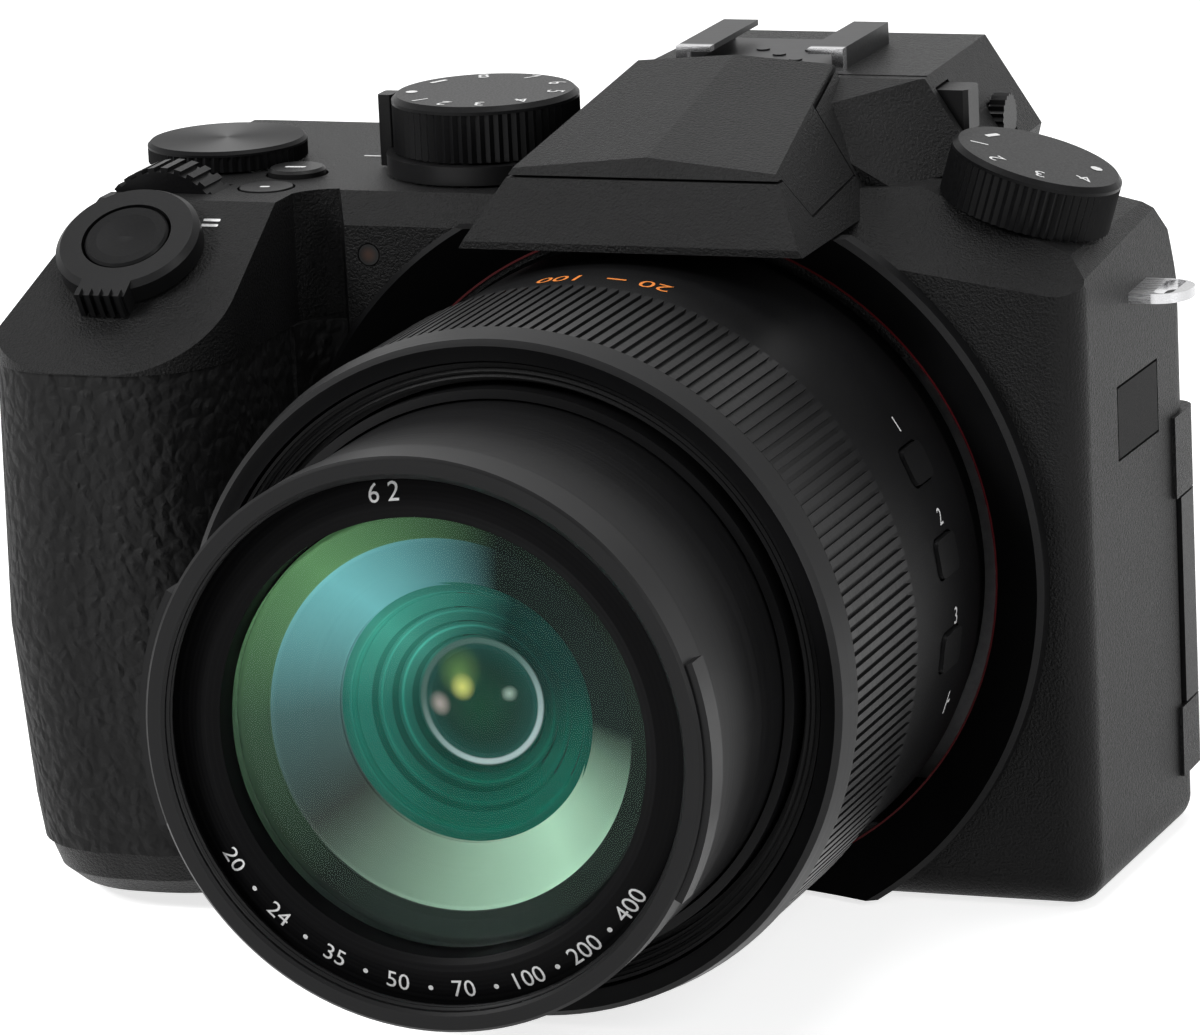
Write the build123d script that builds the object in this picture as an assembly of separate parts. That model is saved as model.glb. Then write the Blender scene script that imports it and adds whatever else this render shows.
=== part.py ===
"""Bridge camera with a power zoom lens, a pop-up flash, control dials and a swing-out monitor.

X runs across the camera from the grip (-X) to the connector side (+X), Y runs from the lens (-Y)
to the monitor (+Y), and Z is up. The origin is the mouth of the tripod socket in the base.
"""
from build123d import *
from math import cos, pi, radians, sin, tan
import os

# Shared clearances and overruns
reach = 420.0
gap = 0.3
pin_clearance = 0.05
seat = 0.3

# Body shell
lens_z = 40.9
front_y = -19.0
back_y = 26.0
right_front_x = 52.4
right_back_x = 53.8
left_x = -77.0
deck_z = 85.0
corner_r = 4.0
left_back_r = 9.0
right_back_r = 7.0
wall = 2.2
base_seam_z = 6.6
base_edge_r = 3.4
left_seam_z = 69.0
right_seam_z = 64.2
rear_seam_y = 13.5
front_panel_left_x = -40.0
recess_y = -14.5
recess_r = 6.5

# Slopes of the top faces
front_bevel = 3.6
shoulder_tilt = 17.0
shoulder_x = 40.6
shoulder_z = 81.4
shoulder_front_z = 76.4
shoulder_front_x = 41.0
shoulder_bevel_tilt = 25.0
grip_slope = 31.0
slope_y = -41.5
slope_z = 74.3
left_lean = 24.0
left_lean_z = 69.6
right_rear_z = 72.5  # where the shoulder's back edge is cut down to
side_lean = 14.5
side_turn = 2.0
side_bevel_tilt = 38.0
side_bevel_z = 76.4

# Grip
grip_inner_x = -47.5
grip_nose_y = -49.5
grip_tail_y = 4.0
grip_corner_r = 12.0
grip_waist_z = 36.0
grip_foot_steps = ((0, 15.0, 2.2), (1.6, 10.0, 1.4), (4.2, 6.4, 0.7), (8.2, 4.2, 0.3), (14.0, 2.8, 0.1))
grip_waist_in = 1.0
grip_cap_out = 0.6
rubber_skin = 1.0
rubber_top_skin = 0.35
rubber_foot_z = 8.2
rubber_back_y = -10.5
rubber_inner_x = -41.5

# Lens, measured from the front edge of the collar
front_barrel_r = 32.6
front_barrel_wall = 1.3
barrel_rise = 7.1
barrel_wall = 2.6
barrel_r = front_barrel_r + barrel_rise
collar_air = 1.2
collar_bore_r = barrel_r + collar_air
collar_spigot_wall = 2.7
collar_spigot_r = collar_bore_r + collar_spigot_wall
collar_flange = 4.4
collar_r = collar_spigot_r + collar_flange
collar_y = -22.0
collar_depth = 6.0
collar_base_z = 0.4
collar_top_z = 82.0
root_flange_r = 31.8
root_bore_r = 29.6
ring_edge = 0.7
accent_thick = 0.25
neck_drop = 1.0
neck_r = barrel_r - neck_drop
neck_front_y = -20.3
accent_y = -17.0
ring_back_y = -47.2
ring_split_y = -70.2
ring_front_y = -74.6
ring_rise = 0.9
ring_r = barrel_r + ring_rise
rib_depth = 0.5
rib_drop = 0.15
ring_groove = 0.4
rib_count = 180
rib_land = 0.6
nose_rise = 0.3
nose_r = barrel_r + nose_rise
bezel_depth = 4.2
bezel_steps = 3
mouth_air = 2.3
mouth_r = front_barrel_r + mouth_air
front_barrel_back_y = -45.5
middle_barrel_wall = 1.1
middle_barrel_front_y = -73.2
middle_barrel_back_y = -29.0
rim_rise = 0.5
rim_r = front_barrel_r + rim_rise
rim_front_y = -102.1
rim_depth = 5.6
rim_thread_r = 30.8
thread_depth = 2.6
name_ring_drop = 1.3
cone_mid_r = 21.6
cone_mid_depth = 7.0
tab_out = 0.9
tab_arc = 48.0
tab_angles = (175.0, -5.0)
name_lip_r = 25.4
name_lip_y = -99.4
element_r = 24.8
element_sphere_r = 110.0
element_thick = 5.2
element_hollow_r = 68.2
element_hollow_start = 3.1
element_front_y = -99.3
inner_element_r = 15.0
inner_element_thick = 8.0
inner_element_y = -87.3
inner_eye_r = 7.2
inner_eye_depth = 5.2
inner_eye_bulge = 1.4
inner_steps = 4
rear_group_r = 14.0
rear_group_bore = 9.8
rear_group_depth = 12.0
rear_group_y = -12.0

# Buttons on the fixed barrel
fn_angles = (25.0, 8.5, -8.0)
fn_y = -32.0
fn_long = 6.6
fn_wide = 4.6
fn_rise = 0.45
fn_sink = 1.6
fn_corner = 1.1
fn_travel = 0.4

# Flash hump
hump_x = 2.2
visor_y = -34.0
visor_z = 82.3
panel_top_y = -27.0
panel_top_z = 91.1
panel_foot_w = 43.0
panel_top_w = 32.8
roof_rise = 1.2
roof_back_y = 8.0
roof_back_z = 97.6
roof_back_w = 25.0
hood_front_y = -5.0
hood_back_y = 36.0
hood_top_w = 38.0
hood_foot_w = 52.0
hood_x = 7.2
hood_flare_y = 7.0
hood_low_w = 44.0
hood_low_z = 69.6
hood_start_top_w = 18.0
hood_start_z = 93.0
hood_start_foot_w = 46.0
hood_top_z = 96.0
flash_lip = 0.9
flash_dip_y = -24.5
flash_dip_z = 85.4
flash_tail_y = 4.0
flash_tail_z = 87.2
flash_block_w = 24.0
flash_block_z = 83.2
flash_block_back_y = -5.0
flash_window_thick = 1.2
flash_window_w = 20.0
flash_window_z0 = 84.2
flash_window_z1 = 89.2
flash_pivot_y = 6.4
flash_pivot_z = 95.9
flash_knuckle_r = 1.6
release_size = 5.2
release_sink = 3.4
release_rise = 2.0
release_travel = 1.0
scoop_gap = 0.4

# Accessory shoe
shoe_x = 4.0
shoe_front_y = 10.4
shoe_long = 18.4
shoe_wide = 21.6
shoe_slot = 18.7
shoe_mouth = 12.6
shoe_contact_r = 0.84
shoe_contact_y = 18.1
shoe_sheet = 0.7
shoe_top_z = 98.7

# Viewfinder
eyecup_w = 36.0
eyecup_h = 22.0
eyecup_r = 7.0
eyecup_depth = 6.4
eyecup_z = 79.6
eyepiece_w = 21.0
eyepiece_h = 14.0
eyepiece_r = 3.0
eyepiece_thick = 2.4
eyepiece_sink = 2.0
diopter_r = 3.0
diopter_knurls = 20
diopter_thick = 2.0
diopter_y = 24.0
diopter_z = 88.0
diopter_proud = 0.4

# Dials on the top face
knurl_depth = 0.35
crown_slope_share = 0.6
top_dial_x = -63.2
top_dial_y = 0.6
top_dial_r = 10.0
top_dial_h = 2.9
top_dial_knurls = 56
mode_dial_x = -28.0
mode_dial_y = -0.4
mode_dial_r = 11.6
mode_dial_h = 6.9
mode_dial_knurls = 64
mode_dial_crown = 1.0
lever_r = 12.5
lever_h = 2.3
lever_tab_w = 3.0
lever_tab_h = 6.6
lever_tab_out = 1.3
drive_dial_y = -0.6
drive_dial_r = 10.5
drive_dial_h = 6.8
drive_dial_knurls = 60
drive_dial_crown = 1.0
dial_shaft_r = 2.6
dial_shaft_long = 3.0
front_dial_x = -63.5
front_dial_y = -17.0
front_dial_r = 8.6
front_dial_w = 5.6
front_dial_ribs = 30
front_dial_rib = 0.56
front_dial_rise = 3.1

# Shutter release and zoom lever
shutter_x = -62.3
shutter_y = -32.3
zoom_ring_r = 9.0
zoom_ring_h = 2.9
zoom_ring_bore = 5.6
zoom_tab_w = 6.4
zoom_tab_out = 1.5
zoom_tab_ribs = 5
shutter_r = 5.25
shutter_h = 3.3
shutter_sink = 2.6
shutter_dish = 0.3
shutter_travel = 1.2

# Small buttons on the deck
raised_button_x = -51.0
raised_button_y = -6.6
raised_button_r = 3.6
raised_button_rise = 0.9
flush_button_x = -51.6
flush_button_y = -15.2
flush_button_r = 3.3
flush_button_rise = 0.15
button_sink = 2.2
button_travel = 0.5
button_edge_share = 0.4

# Lamp, speaker holes and index mark
lamp_x = -37.0
lamp_z = 77.8
lamp_r = 1.3
lamp_thick = 1.4

# Monitor on its vertical hinge
monitor_pivot_x = 51.2
monitor_pivot_y = 23.0
monitor_z0 = 7.4
monitor_z1 = 52.0
monitor_left_x = -25.0
monitor_front_y = 17.6
monitor_back_y = 26.4
monitor_edge_r = 2.2
monitor_recess_gap = 0.5
knuckle_r = 2.8
bracket_z0 = 16.0
bracket_z1 = 42.0
hinge_pin_r = 1.4
hinge_pin_long = 3.2
glass_margin = 5.0
glass_thick = 0.8

# Rear controls
thumb_x0 = -76.0
thumb_x1 = -58.0
thumb_z0 = 46.0
thumb_z1 = 67.0
thumb_out = 4.0
pad_x = -49.0
pad_z = 32.0
pad_r = 10.5
pad_bore = 4.6
pad_rise = 1.4
set_button_rise = 1.0
rear_button_r = 3.2
rear_button_rise = 0.9
rear_button_places = ((-34.0, 60.5), (-62.0, 17.0), (-36.0, 17.0))
focus_lever_x = -49.0
focus_lever_z = 62.0
focus_lever_r = 6.6
focus_lever_h = 1.6
focus_lever_bore = 3.9
focus_lever_tab = 2.4
af_button_r = 3.6
af_button_rise = 2.0

# Base pieces
socket_r = 2.55
socket_depth = 5.6
socket_bush_r = 5.0
door_x0 = -73.5
door_x1 = -50.5
door_y0 = -32.5
door_y1 = 5.5
door_thick = 2.0
door_corner_r = 8.0
door_pin_r = 0.6
door_pin_out = 1.0
door_hinge_y = 3.9
latch_long = 9.0
latch_wide = 5.0
latch_thick = 1.0
battery_x = 15.4
battery_y = 36.0
battery_z = 43.0
battery_gap = 0.5
battery_edge_r = 2.0
screw_r = 2.0
screw_h = 1.1
screw_places = ((46.0, -10.0), (46.0, 10.0), (20.0, -12.0), (-20.0, -12.0), (-34.0, 8.0), (-70.0, 12.0))

# Side pieces
jack_y0 = -5.0
jack_y1 = 11.0
jack_z0 = 52.0
jack_z1 = 61.2
flap_thick = 1.6
flap_pin_r = 0.45
flap_pin_out = 1.0
card_y0 = -8.0
card_y1 = 10.0
card_z0 = 20.0
card_z1 = 44.0
lug_y = 5.0
lug_z = 70.9
lug_sheet = 1.2
lug_w = 9.0
lug_out = 6.0
lug_in = 3.0
lug_slot_w = 5.4
lug_slot_h = 2.4

# Inside the body
chassis_thick = 2.0
chassis_y = 3.0
board_thick = 1.6
board_y = 8.6
sensor_w = 17.0
sensor_h = 13.6
sensor_thick = 2.0
sensor_holder = 26.0


def block(x0, x1, y0, y1, z0, z1):
    """Box between two corners."""
    centre = Pos((x0 + x1) / 2, (y0 + y1) / 2, (z0 + z1) / 2)
    return centre * Box(x1 - x0, y1 - y0, z1 - z0)


def half_space(point, normal):
    """Everything on the side of a plane that its normal points to."""
    return Plane(origin=point, z_dir=normal) * Pos(0, 0, reach / 2) * Box(reach, reach, reach)


def turned(profile):
    """Solid of revolution about the lens axis from (radius, y) points."""
    face = make_face(Polyline(*profile, close=True))
    return Pos(0, 0, lens_z) * revolve(face, Axis.Y, 360)


def disc_y(radius, y0, y1, x=0, z=0):
    """Cylinder whose axis runs front to back."""
    return Pos(x, (y0 + y1) / 2, z) * Rot(90, 0, 0) * Cylinder(radius, y1 - y0)


def disc_x(radius, x0, x1, y=0, z=0):
    """Cylinder whose axis runs across the camera."""
    return Pos((x0 + x1) / 2, y, z) * Rot(0, 90, 0) * Cylinder(radius, x1 - x0)


def disc_z(radius, z0, z1, x=0, y=0):
    """Upright cylinder."""
    return Pos(x, y, (z0 + z1) / 2) * Cylinder(radius, z1 - z0)


def toothed_outline(radius, depth, count, land_share=0.5):
    """Points of a wheel with flat teeth and flat gaps, teeth filling the given share of the pitch."""
    points = []
    pitch = 2 * pi / count
    for tooth in range(count):
        start = tooth * pitch
        root = radius - depth
        for share, level in ((0, radius), (land_share, radius), (land_share, root), (1, root)):
            angle = start + share * pitch
            points.append((level * cos(angle), level * sin(angle)))
    return points


def knurled_outline(radius, depth, count):
    """Points of a wheel with pointed teeth."""
    points = []
    for index in range(2 * count):
        angle = pi * index / count
        level = radius - depth * (index % 2)
        points.append((level * cos(angle), level * sin(angle)))
    return points


def toothed_ring_y(radius, depth, count, y0, y1, bore):
    """Toothed ring about the lens axis."""
    face = make_face(Polyline(*toothed_outline(radius, depth, count, rib_land), close=True)) - Circle(bore)
    ring = extrude(face, y1 - y0)
    return Pos(0, y1, lens_z) * Rot(90, 0, 0) * ring


def knurled_dial(radius, height, count, crown):
    """Dial standing on the XY plane: a knurled skirt under a smooth bevelled crown."""
    skirt_top = height - crown
    outline = make_face(Polyline(*knurled_outline(radius, knurl_depth, count), close=True))
    skirt = extrude(outline, skirt_top)
    top = Pos(0, 0, skirt_top + crown / 2) * Cylinder(radius, crown)
    rim = top.edges().filter_by(GeomType.CIRCLE).sort_by(Axis.Z)[-1]
    return skirt + chamfer(rim, crown * crown_slope_share)


def on_shoulder(shape):
    """Move a shape built on the XY plane to the sloping shoulder on the connector side."""
    return Pos(shoulder_x, drive_dial_y, shoulder_z) * Rot(0, shoulder_tilt, 0) * shape


def on_slope(shape):
    """Move a shape built on the XY plane to the sloping top of the grip."""
    z = slope_z + (shutter_y - slope_y) * tan(radians(grip_slope))
    return Pos(shutter_x, shutter_y, z) * Rot(grip_slope, 0, 0) * shape


def on_barrel(shape, angle):
    """Move a shape built on the XY plane to the side of the fixed barrel, facing outwards."""
    return Pos(0, fn_y, lens_z) * Rot(0, -angle, 0) * Pos(barrel_r, 0, 0) * Rot(0, 90, 0) * shape


def grip_section(z, grow, side_in, nose_in):
    """Rounded plan section of the grip at one height."""
    x0 = left_x + side_in - grow
    x1 = grip_inner_x - side_in + grow
    y0 = grip_nose_y + nose_in - grow
    width = x1 - x0
    depth = grip_tail_y - y0
    return Pos((x0 + x1) / 2, (y0 + grip_tail_y) / 2, z) * RectangleRounded(width, depth, grip_corner_r)


def grip_core():
    """Grip column, drawn in at its nose and rounded under its foot."""
    sections = [grip_section(z, 0, side_in, nose_in) for z, nose_in, side_in in grip_foot_steps]
    sections.append(grip_section(grip_waist_z, 0, 0, grip_waist_in))
    sections.append(grip_section(left_seam_z, 0, 0, 0))
    return loft(sections, ruled=True)


def grip_cap():
    """Part of the grip above the rubber, a little wider than the column below it."""
    return extrude(grip_section(left_seam_z, grip_cap_out, 0, 0), deck_z - left_seam_z)


def finger_web():
    """Concave fillet between the inner side of the grip and the front of the body."""
    x1 = grip_inner_x + recess_r
    y0 = recess_y - recess_r
    corner = block(grip_inner_x - wall, x1, y0, recess_y + wall, 0, deck_z)
    return corner - disc_z(recess_r, -reach, reach, x1, y0)


def body_slab():
    """Plan outline of the body raised to the deck, without the grip."""
    outline = (
        (left_x, back_y),
        (right_back_x, back_y),
        (right_front_x, front_y),
        (front_panel_left_x, front_y),
        (front_panel_left_x - wall, recess_y),
        (left_x, recess_y),
    )
    slab = extrude(make_face(Polyline(*outline, close=True)), deck_z)
    upright = slab.edges().filter_by(Axis.Z)
    slab = fillet(upright.sort_by(Axis.X)[:2].sort_by(Axis.Y)[-1:], left_back_r)
    upright = slab.edges().filter_by(Axis.Z)
    slab = fillet(upright.sort_by(Axis.X)[-2:].sort_by(Axis.Y)[-1:], right_back_r)
    upright = slab.edges().filter_by(Axis.Z)
    front_right = upright.group_by(Axis.Y)[0].sort_by(Axis.X)[-1:]
    slab = fillet(front_right, corner_r)
    return fillet(slab.faces().sort_by(Axis.Z)[0].edges(), base_edge_r)


def body_envelope():
    """Whole outer body under the hump, before it is parted into covers."""
    body = body_slab() + grip_core() + grip_cap() + finger_web()
    slope = radians(grip_slope)
    body -= half_space((left_x, slope_y, slope_z), (0, -sin(slope), cos(slope)))
    body -= half_space((left_x, 0, left_lean_z), (-1, 0, tan(radians(left_lean))))
    front_edge = (0, front_y, deck_z - front_bevel)
    bevel = half_space(front_edge, (0, -1, 1))
    body -= bevel & block(front_panel_left_x - wall, reach, -reach, reach, 0, reach)
    right_half = block(hump_x, reach, -reach, reach, 0, reach)
    tilt = radians(shoulder_tilt)
    body -= half_space((shoulder_x, 0, shoulder_z), (sin(tilt), 0, cos(tilt))) & right_half
    lean = tan(radians(shoulder_bevel_tilt))
    fall = tan(radians(shoulder_tilt / 2))
    body -= half_space((shoulder_front_x, front_y, shoulder_front_z), (fall, -lean, 1)) & right_half
    corner = (right_front_x, front_y, side_bevel_z)
    body -= half_space(corner, (1, tan(radians(side_turn)), tan(radians(side_lean))))
    body -= half_space(corner, (tan(radians(side_bevel_tilt)), 0, 1)) & right_half
    body -= half_space((0, back_y, right_rear_z), (0, 1, 1)) & right_half
    return body


def hump_block(grow):
    """Faceted hump: leaning front panel, low gabled roof and two sloping sides."""
    half = panel_foot_w / 2
    spare = hood_foot_w
    top = shoe_top_z + roof_rise
    body = block(hump_x - spare, hump_x + spare, visor_y, roof_back_y + grow, visor_z, top)
    panel_run = panel_top_y - visor_y
    panel_rise = panel_top_z - visor_z
    body -= half_space((hump_x, visor_y, visor_z + flash_lip), (0, -panel_rise, panel_run))
    roof_run = roof_back_y - panel_top_y
    roof_climb = roof_back_z - panel_top_z
    for sign in (-1, 1):
        gable = sign * roof_rise / (panel_top_w / 2)
        ridge = (hump_x, panel_top_y, panel_top_z + roof_rise + grow)
        body -= half_space(ridge, (gable, -roof_climb / roof_run, 1))
        top_x = hump_x + sign * panel_top_w / 2
        back_x = hump_x + sign * roof_back_w / 2
        foot_x = hump_x + sign * half
        along = Vector(back_x - top_x, roof_run, roof_climb)
        down = Vector(foot_x - top_x, visor_y - panel_top_y, visor_z - panel_top_z)
        outward = along.cross(down) if sign < 0 else down.cross(along)
        outward = outward.normalized()
        start = Vector(top_x, panel_top_y, panel_top_z) + outward * grow
        body -= half_space(tuple(start), tuple(outward))
    return body


def hood_section(y, x, top_w, foot_w, low_w, top_z):
    """Six-sided section of the viewfinder housing at one depth."""
    points = (
        (x - low_w / 2, hood_low_z),
        (x + low_w / 2, hood_low_z),
        (x + foot_w / 2, deck_z),
        (x + top_w / 2, top_z),
        (x - top_w / 2, top_z),
        (x - foot_w / 2, deck_z),
    )
    return Plane.XZ.offset(-y) * make_face(Polyline(*points, close=True))


def hood_block():
    """Viewfinder housing behind the flash, flaring out of the hump."""
    start = hood_section(
        hood_front_y, hump_x, hood_start_top_w, hood_start_foot_w, hood_start_foot_w - wall * 2, hood_start_z
    )
    wide = hood_section(hood_flare_y, hood_x, hood_top_w, hood_foot_w, hood_low_w, hood_top_z)
    narrow = (hood_top_w - wall, hood_foot_w - wall, hood_low_w - wall)
    back = hood_section(hood_back_y, hood_x, *narrow, hood_top_z)
    return loft([start, wide, back], ruled=True)


def hood_side_x(z):
    """X of the connector side of the hood at one height above the deck."""
    share = (hood_top_z - z) / (hood_top_z - deck_z)
    return hood_x + hood_top_w / 2 + (hood_foot_w - hood_top_w) / 2 * share


def flash_profile(grow):
    """Side view of the region taken by the flash lid, grown by a clearance."""
    points = (
        (visor_y - wall, panel_top_z - flash_lip - grow),
        (panel_top_y, panel_top_z - flash_lip - grow),
        (flash_dip_y, flash_dip_z - grow),
        (flash_tail_y, flash_tail_z - grow),
        (flash_pivot_y, flash_pivot_z - flash_knuckle_r),
        (flash_pivot_y, reach),
        (visor_y - wall, reach),
    )
    face = Plane.YZ * make_face(Polyline(*points, close=True))
    lid = Pos(hump_x - reach / 2, 0, 0) * extrude(face, reach)
    turn_r = flash_knuckle_r + min(grow, pin_clearance)
    lid += disc_x(turn_r, hump_x - reach / 2, hump_x + reach / 2, flash_pivot_y, flash_pivot_z)
    return lid & flash_sides(grow)


def roof_half(y):
    """Half the width of the hump's roof at one depth."""
    share = (y - panel_top_y) / (roof_back_y - panel_top_y)
    return (panel_top_w + (roof_back_w - panel_top_w) * share) / 2


def flash_sides(grow):
    """Plan of the flash lid: as wide as the hump in front, and as its roof beside the hood."""
    y0 = hood_front_y - wall / 2
    y1 = roof_back_y + wall
    near = roof_half(y0) + grow
    far = roof_half(y1) + grow
    side = reach / 2
    points = (
        (hump_x - side, -reach),
        (hump_x + side, -reach),
        (hump_x + side, y0 + grow),
        (hump_x + near, y0 + grow),
        (hump_x + far, y1),
        (hump_x - far, y1),
        (hump_x - near, y0 + grow),
        (hump_x - side, y0 + grow),
    )
    return extrude(make_face(Polyline(*points, close=True)), reach)


def flash_face_y(z):
    """Depth of the front face of the flash head at one height, leaning back towards its foot."""
    lean = (flash_dip_y - panel_top_y) / (panel_top_z - flash_lip - flash_dip_z)
    return flash_dip_y + lean * (flash_dip_z - z)


def flash_belly(grow):
    """Lamp block under the flash lid."""
    half = flash_block_w / 2 + grow
    z0 = flash_block_z - grow
    z1 = panel_top_z - flash_lip
    points = (
        (flash_face_y(z0) - grow, z0),
        (flash_face_y(z1) - grow, z1),
        (flash_block_back_y + grow, z1),
        (flash_block_back_y + grow, z0),
    )
    face = Plane.YZ * make_face(Polyline(*points, close=True))
    return Pos(hump_x - half, 0, 0) * extrude(face, half * 2)


def lens_tunnel():
    """Room for the lens in the body shells: a wide seat for the collar and a narrower bore behind it."""
    seat_y = front_y + wall
    tunnel = disc_y(collar_spigot_r, -reach, seat_y, 0, lens_z)
    tunnel &= block(-reach, reach, -reach, reach, -reach, collar_top_z)
    tunnel += disc_y(barrel_r + gap, seat_y - wall, seat_y + wall, 0, lens_z)
    return tunnel + disc_y(root_flange_r + gap, seat_y, chassis_y, 0, lens_z)


def main_cavity():
    """Hollow of the body behind the lens."""
    x1 = right_front_x - wall * 2
    z1 = right_seam_z + wall
    return block(front_panel_left_x - wall, x1, front_y + wall, rear_seam_y, base_seam_z + wall, z1)


def battery_well():
    """Chamber for the battery inside the grip."""
    x = (door_x0 + door_x1) / 2
    y = (door_y0 + door_y1) / 2
    half_x = battery_x / 2 + battery_gap
    half_y = battery_y / 2 + battery_gap
    return block(x - half_x, x + half_x, y - half_y, y + half_y, 0, base_seam_z + battery_z + wall)


def top_region():
    """Part of the body that belongs to the top cover."""
    left = block(-reach, 0, -reach, reach, left_seam_z, reach)
    right = block(0, reach, -reach, reach, right_seam_z, reach)
    return left + right


ENVELOPE = body_envelope()
HUMP = hump_block(0)
HOOD = hood_block()


def dial_scoop():
    """Room for the mode dial and its lever where they stand close to the hump."""
    return disc_z(lever_r + scoop_gap, deck_z, reach, mode_dial_x, mode_dial_y)


def flash_room():
    """Everything that the closed flash head needs inside the hump."""
    room = (hump_block(gap) & flash_profile(gap)) + flash_belly(gap)
    side = hood_foot_w
    return room + block(hump_x - side, hump_x + side, flash_pivot_y, roof_back_y + gap, flash_pivot_z, reach)


def dial_hole(x, y):
    """Bore for the shaft of a dial on the flat deck."""
    return disc_z(dial_shaft_r + pin_clearance, deck_z - dial_shaft_long - seat, reach, x, y)


def top_cover():
    """Top shell: both decks, the grip cap, the front panel of the hump and the viewfinder hood."""
    shell = ENVELOPE & top_region()
    shell += HUMP
    shell += HOOD
    shell -= flash_room()
    shell -= dial_scoop()
    shell -= main_cavity()
    shell -= lens_tunnel()
    shell -= block(-reach, reach, rear_seam_y, reach, -reach, left_seam_z)
    shell -= dial_hole(top_dial_x, top_dial_y)
    shell -= dial_hole(mode_dial_x, mode_dial_y)
    shaft = dial_shaft_r + pin_clearance
    shell -= on_shoulder(disc_z(shaft, -dial_shaft_long - seat, reach))
    well = zoom_ring_bore - gap
    shell -= on_slope(disc_z(well, -shutter_sink - shutter_travel - seat, reach))
    shell -= front_dial_slot()
    for x, y, radius in (
        (raised_button_x, raised_button_y, raised_button_r),
        (flush_button_x, flush_button_y, flush_button_r),
    ):
        depth = deck_z - button_sink - button_travel - seat
        shell -= disc_z(radius + gap, depth, reach, x, y)
    shell -= disc_y(lamp_r + seat / 2, -reach, front_y + lamp_thick, lamp_x, lamp_z)
    shell -= diopter_hole()
    shell -= release_room()
    shell -= eyepiece_seat()
    shell -= lug_pocket(1)
    shell -= lug_pocket(-1)
    return shell


def front_casing():
    """Main front shell with the grip column and the opening for the lens."""
    shell = ENVELOPE & block(-reach, reach, -reach, rear_seam_y, base_seam_z, reach)
    shell -= top_region()
    shell -= main_cavity()
    shell -= battery_well()
    shell -= lens_tunnel()
    shell -= lug_pocket(1)
    shell -= lug_pocket(-1)
    shell -= side_flap_room(jack_y0, jack_y1, jack_z0, jack_z1)
    shell -= card_room()
    shell -= disc_y(collar_r + gap, -reach, front_y, 0, lens_z)
    return shell - disc_z(socket_bush_r, -reach, socket_depth + wall)


def rear_casing():
    """Rear shell with the recess for the monitor and the ears of its hinge."""
    shell = ENVELOPE & block(-reach, reach, rear_seam_y, reach, base_seam_z, left_seam_z)
    recess_x0 = monitor_left_x - monitor_recess_gap
    z0 = monitor_z0 - monitor_recess_gap
    z1 = monitor_z1 + monitor_recess_gap
    shell -= block(recess_x0, reach, monitor_front_y - monitor_recess_gap, reach, z0, z1)
    y0 = monitor_front_y - monitor_recess_gap - wall / 2
    for low, high in ((z0, bracket_z0 - gap), (bracket_z1 + gap, z1)):
        ear = block(
            monitor_pivot_x - knuckle_r, monitor_pivot_x + knuckle_r, y0, monitor_pivot_y, low, high
        )
        ear += disc_z(knuckle_r, low, high, monitor_pivot_x, monitor_pivot_y)
        shell += ear
    bore = hinge_pin_r + pin_clearance
    for low, high in (
        (bracket_z0 - gap - hinge_pin_long - seat, bracket_z0),
        (bracket_z1, bracket_z1 + gap + hinge_pin_long + seat),
    ):
        shell -= disc_z(bore, low, high, monitor_pivot_x, monitor_pivot_y)
    for x, z in rear_button_places:
        shell -= disc_y(rear_button_r + gap, back_y - button_sink - button_travel - seat, reach, x, z)
    depth = back_y - button_sink - button_travel - seat
    shell -= disc_y(pad_r + gap, depth, reach, pad_x, pad_z)
    shell -= disc_y(af_button_r + gap, depth, reach, focus_lever_x, focus_lever_z)
    return shell


def bottom_cover():
    """Base plate with the battery door opening and the tripod bush."""
    shell = ENVELOPE & block(-reach, reach, -reach, reach, 0, base_seam_z)
    shell -= lens_tunnel()
    shell -= battery_well()
    shell -= door_plate(gap)
    shell -= door_swing_room()
    shell -= door_pin(pin_clearance)
    shell -= disc_z(socket_bush_r, -reach, socket_depth + wall, 0, 0)
    for x, y in screw_places:
        shell -= disc_z(screw_r, 0, screw_h, x, y)
    return shell


def door_plate(grow):
    """Flat plate that closes the battery well, flush with the base and rounded about its hinge pin."""
    x = (door_x0 + door_x1) / 2
    half = (door_x1 - door_x0) / 2 - gap * 2 + grow
    y0 = door_y0 + gap * 2 - grow
    depth = door_hinge_y - y0
    high = door_thick + grow
    plate = extrude(RectangleRounded(half * 2, depth, door_corner_r + grow), high)
    plate = Pos(x, y0 + depth / 2, 0) * plate
    plate += block(x - half, x + half, y0 + depth / 2, door_hinge_y, 0, high)
    return plate + disc_x(door_thick / 2 + grow, x - half, x + half, door_hinge_y, door_thick / 2)


def door_swing_room():
    """Room behind the hinge for the back of the open battery door."""
    y1 = door_hinge_y + door_thick / 2 + gap
    return block(door_x0 + gap, door_x1 - gap, door_hinge_y, y1, -reach, door_thick / 2)


def door_pin(grow):
    """Hinge pin that stands out at both ends of the battery door's round edge."""
    x = (door_x0 + door_x1) / 2
    half = (door_x1 - door_x0) / 2 - gap * 2 + door_pin_out + grow
    return disc_x(door_pin_r + grow, x - half, x + half, door_hinge_y, door_thick / 2)


def battery_door():
    """Door under the grip, with its hinge pin along the back edge."""
    return door_plate(0) + door_pin(0) - latch_pocket()


def latch_pocket():
    """Recess in the battery door for its sliding latch."""
    x = (door_x0 + door_x1) / 2
    half_x = latch_wide / 2 + gap
    half_y = latch_long / 2 + gap * 6
    y = door_y0 + door_thick * 4
    return block(x - half_x, x + half_x, y - half_y, y + half_y, -reach, latch_thick + gap / 2)


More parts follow.
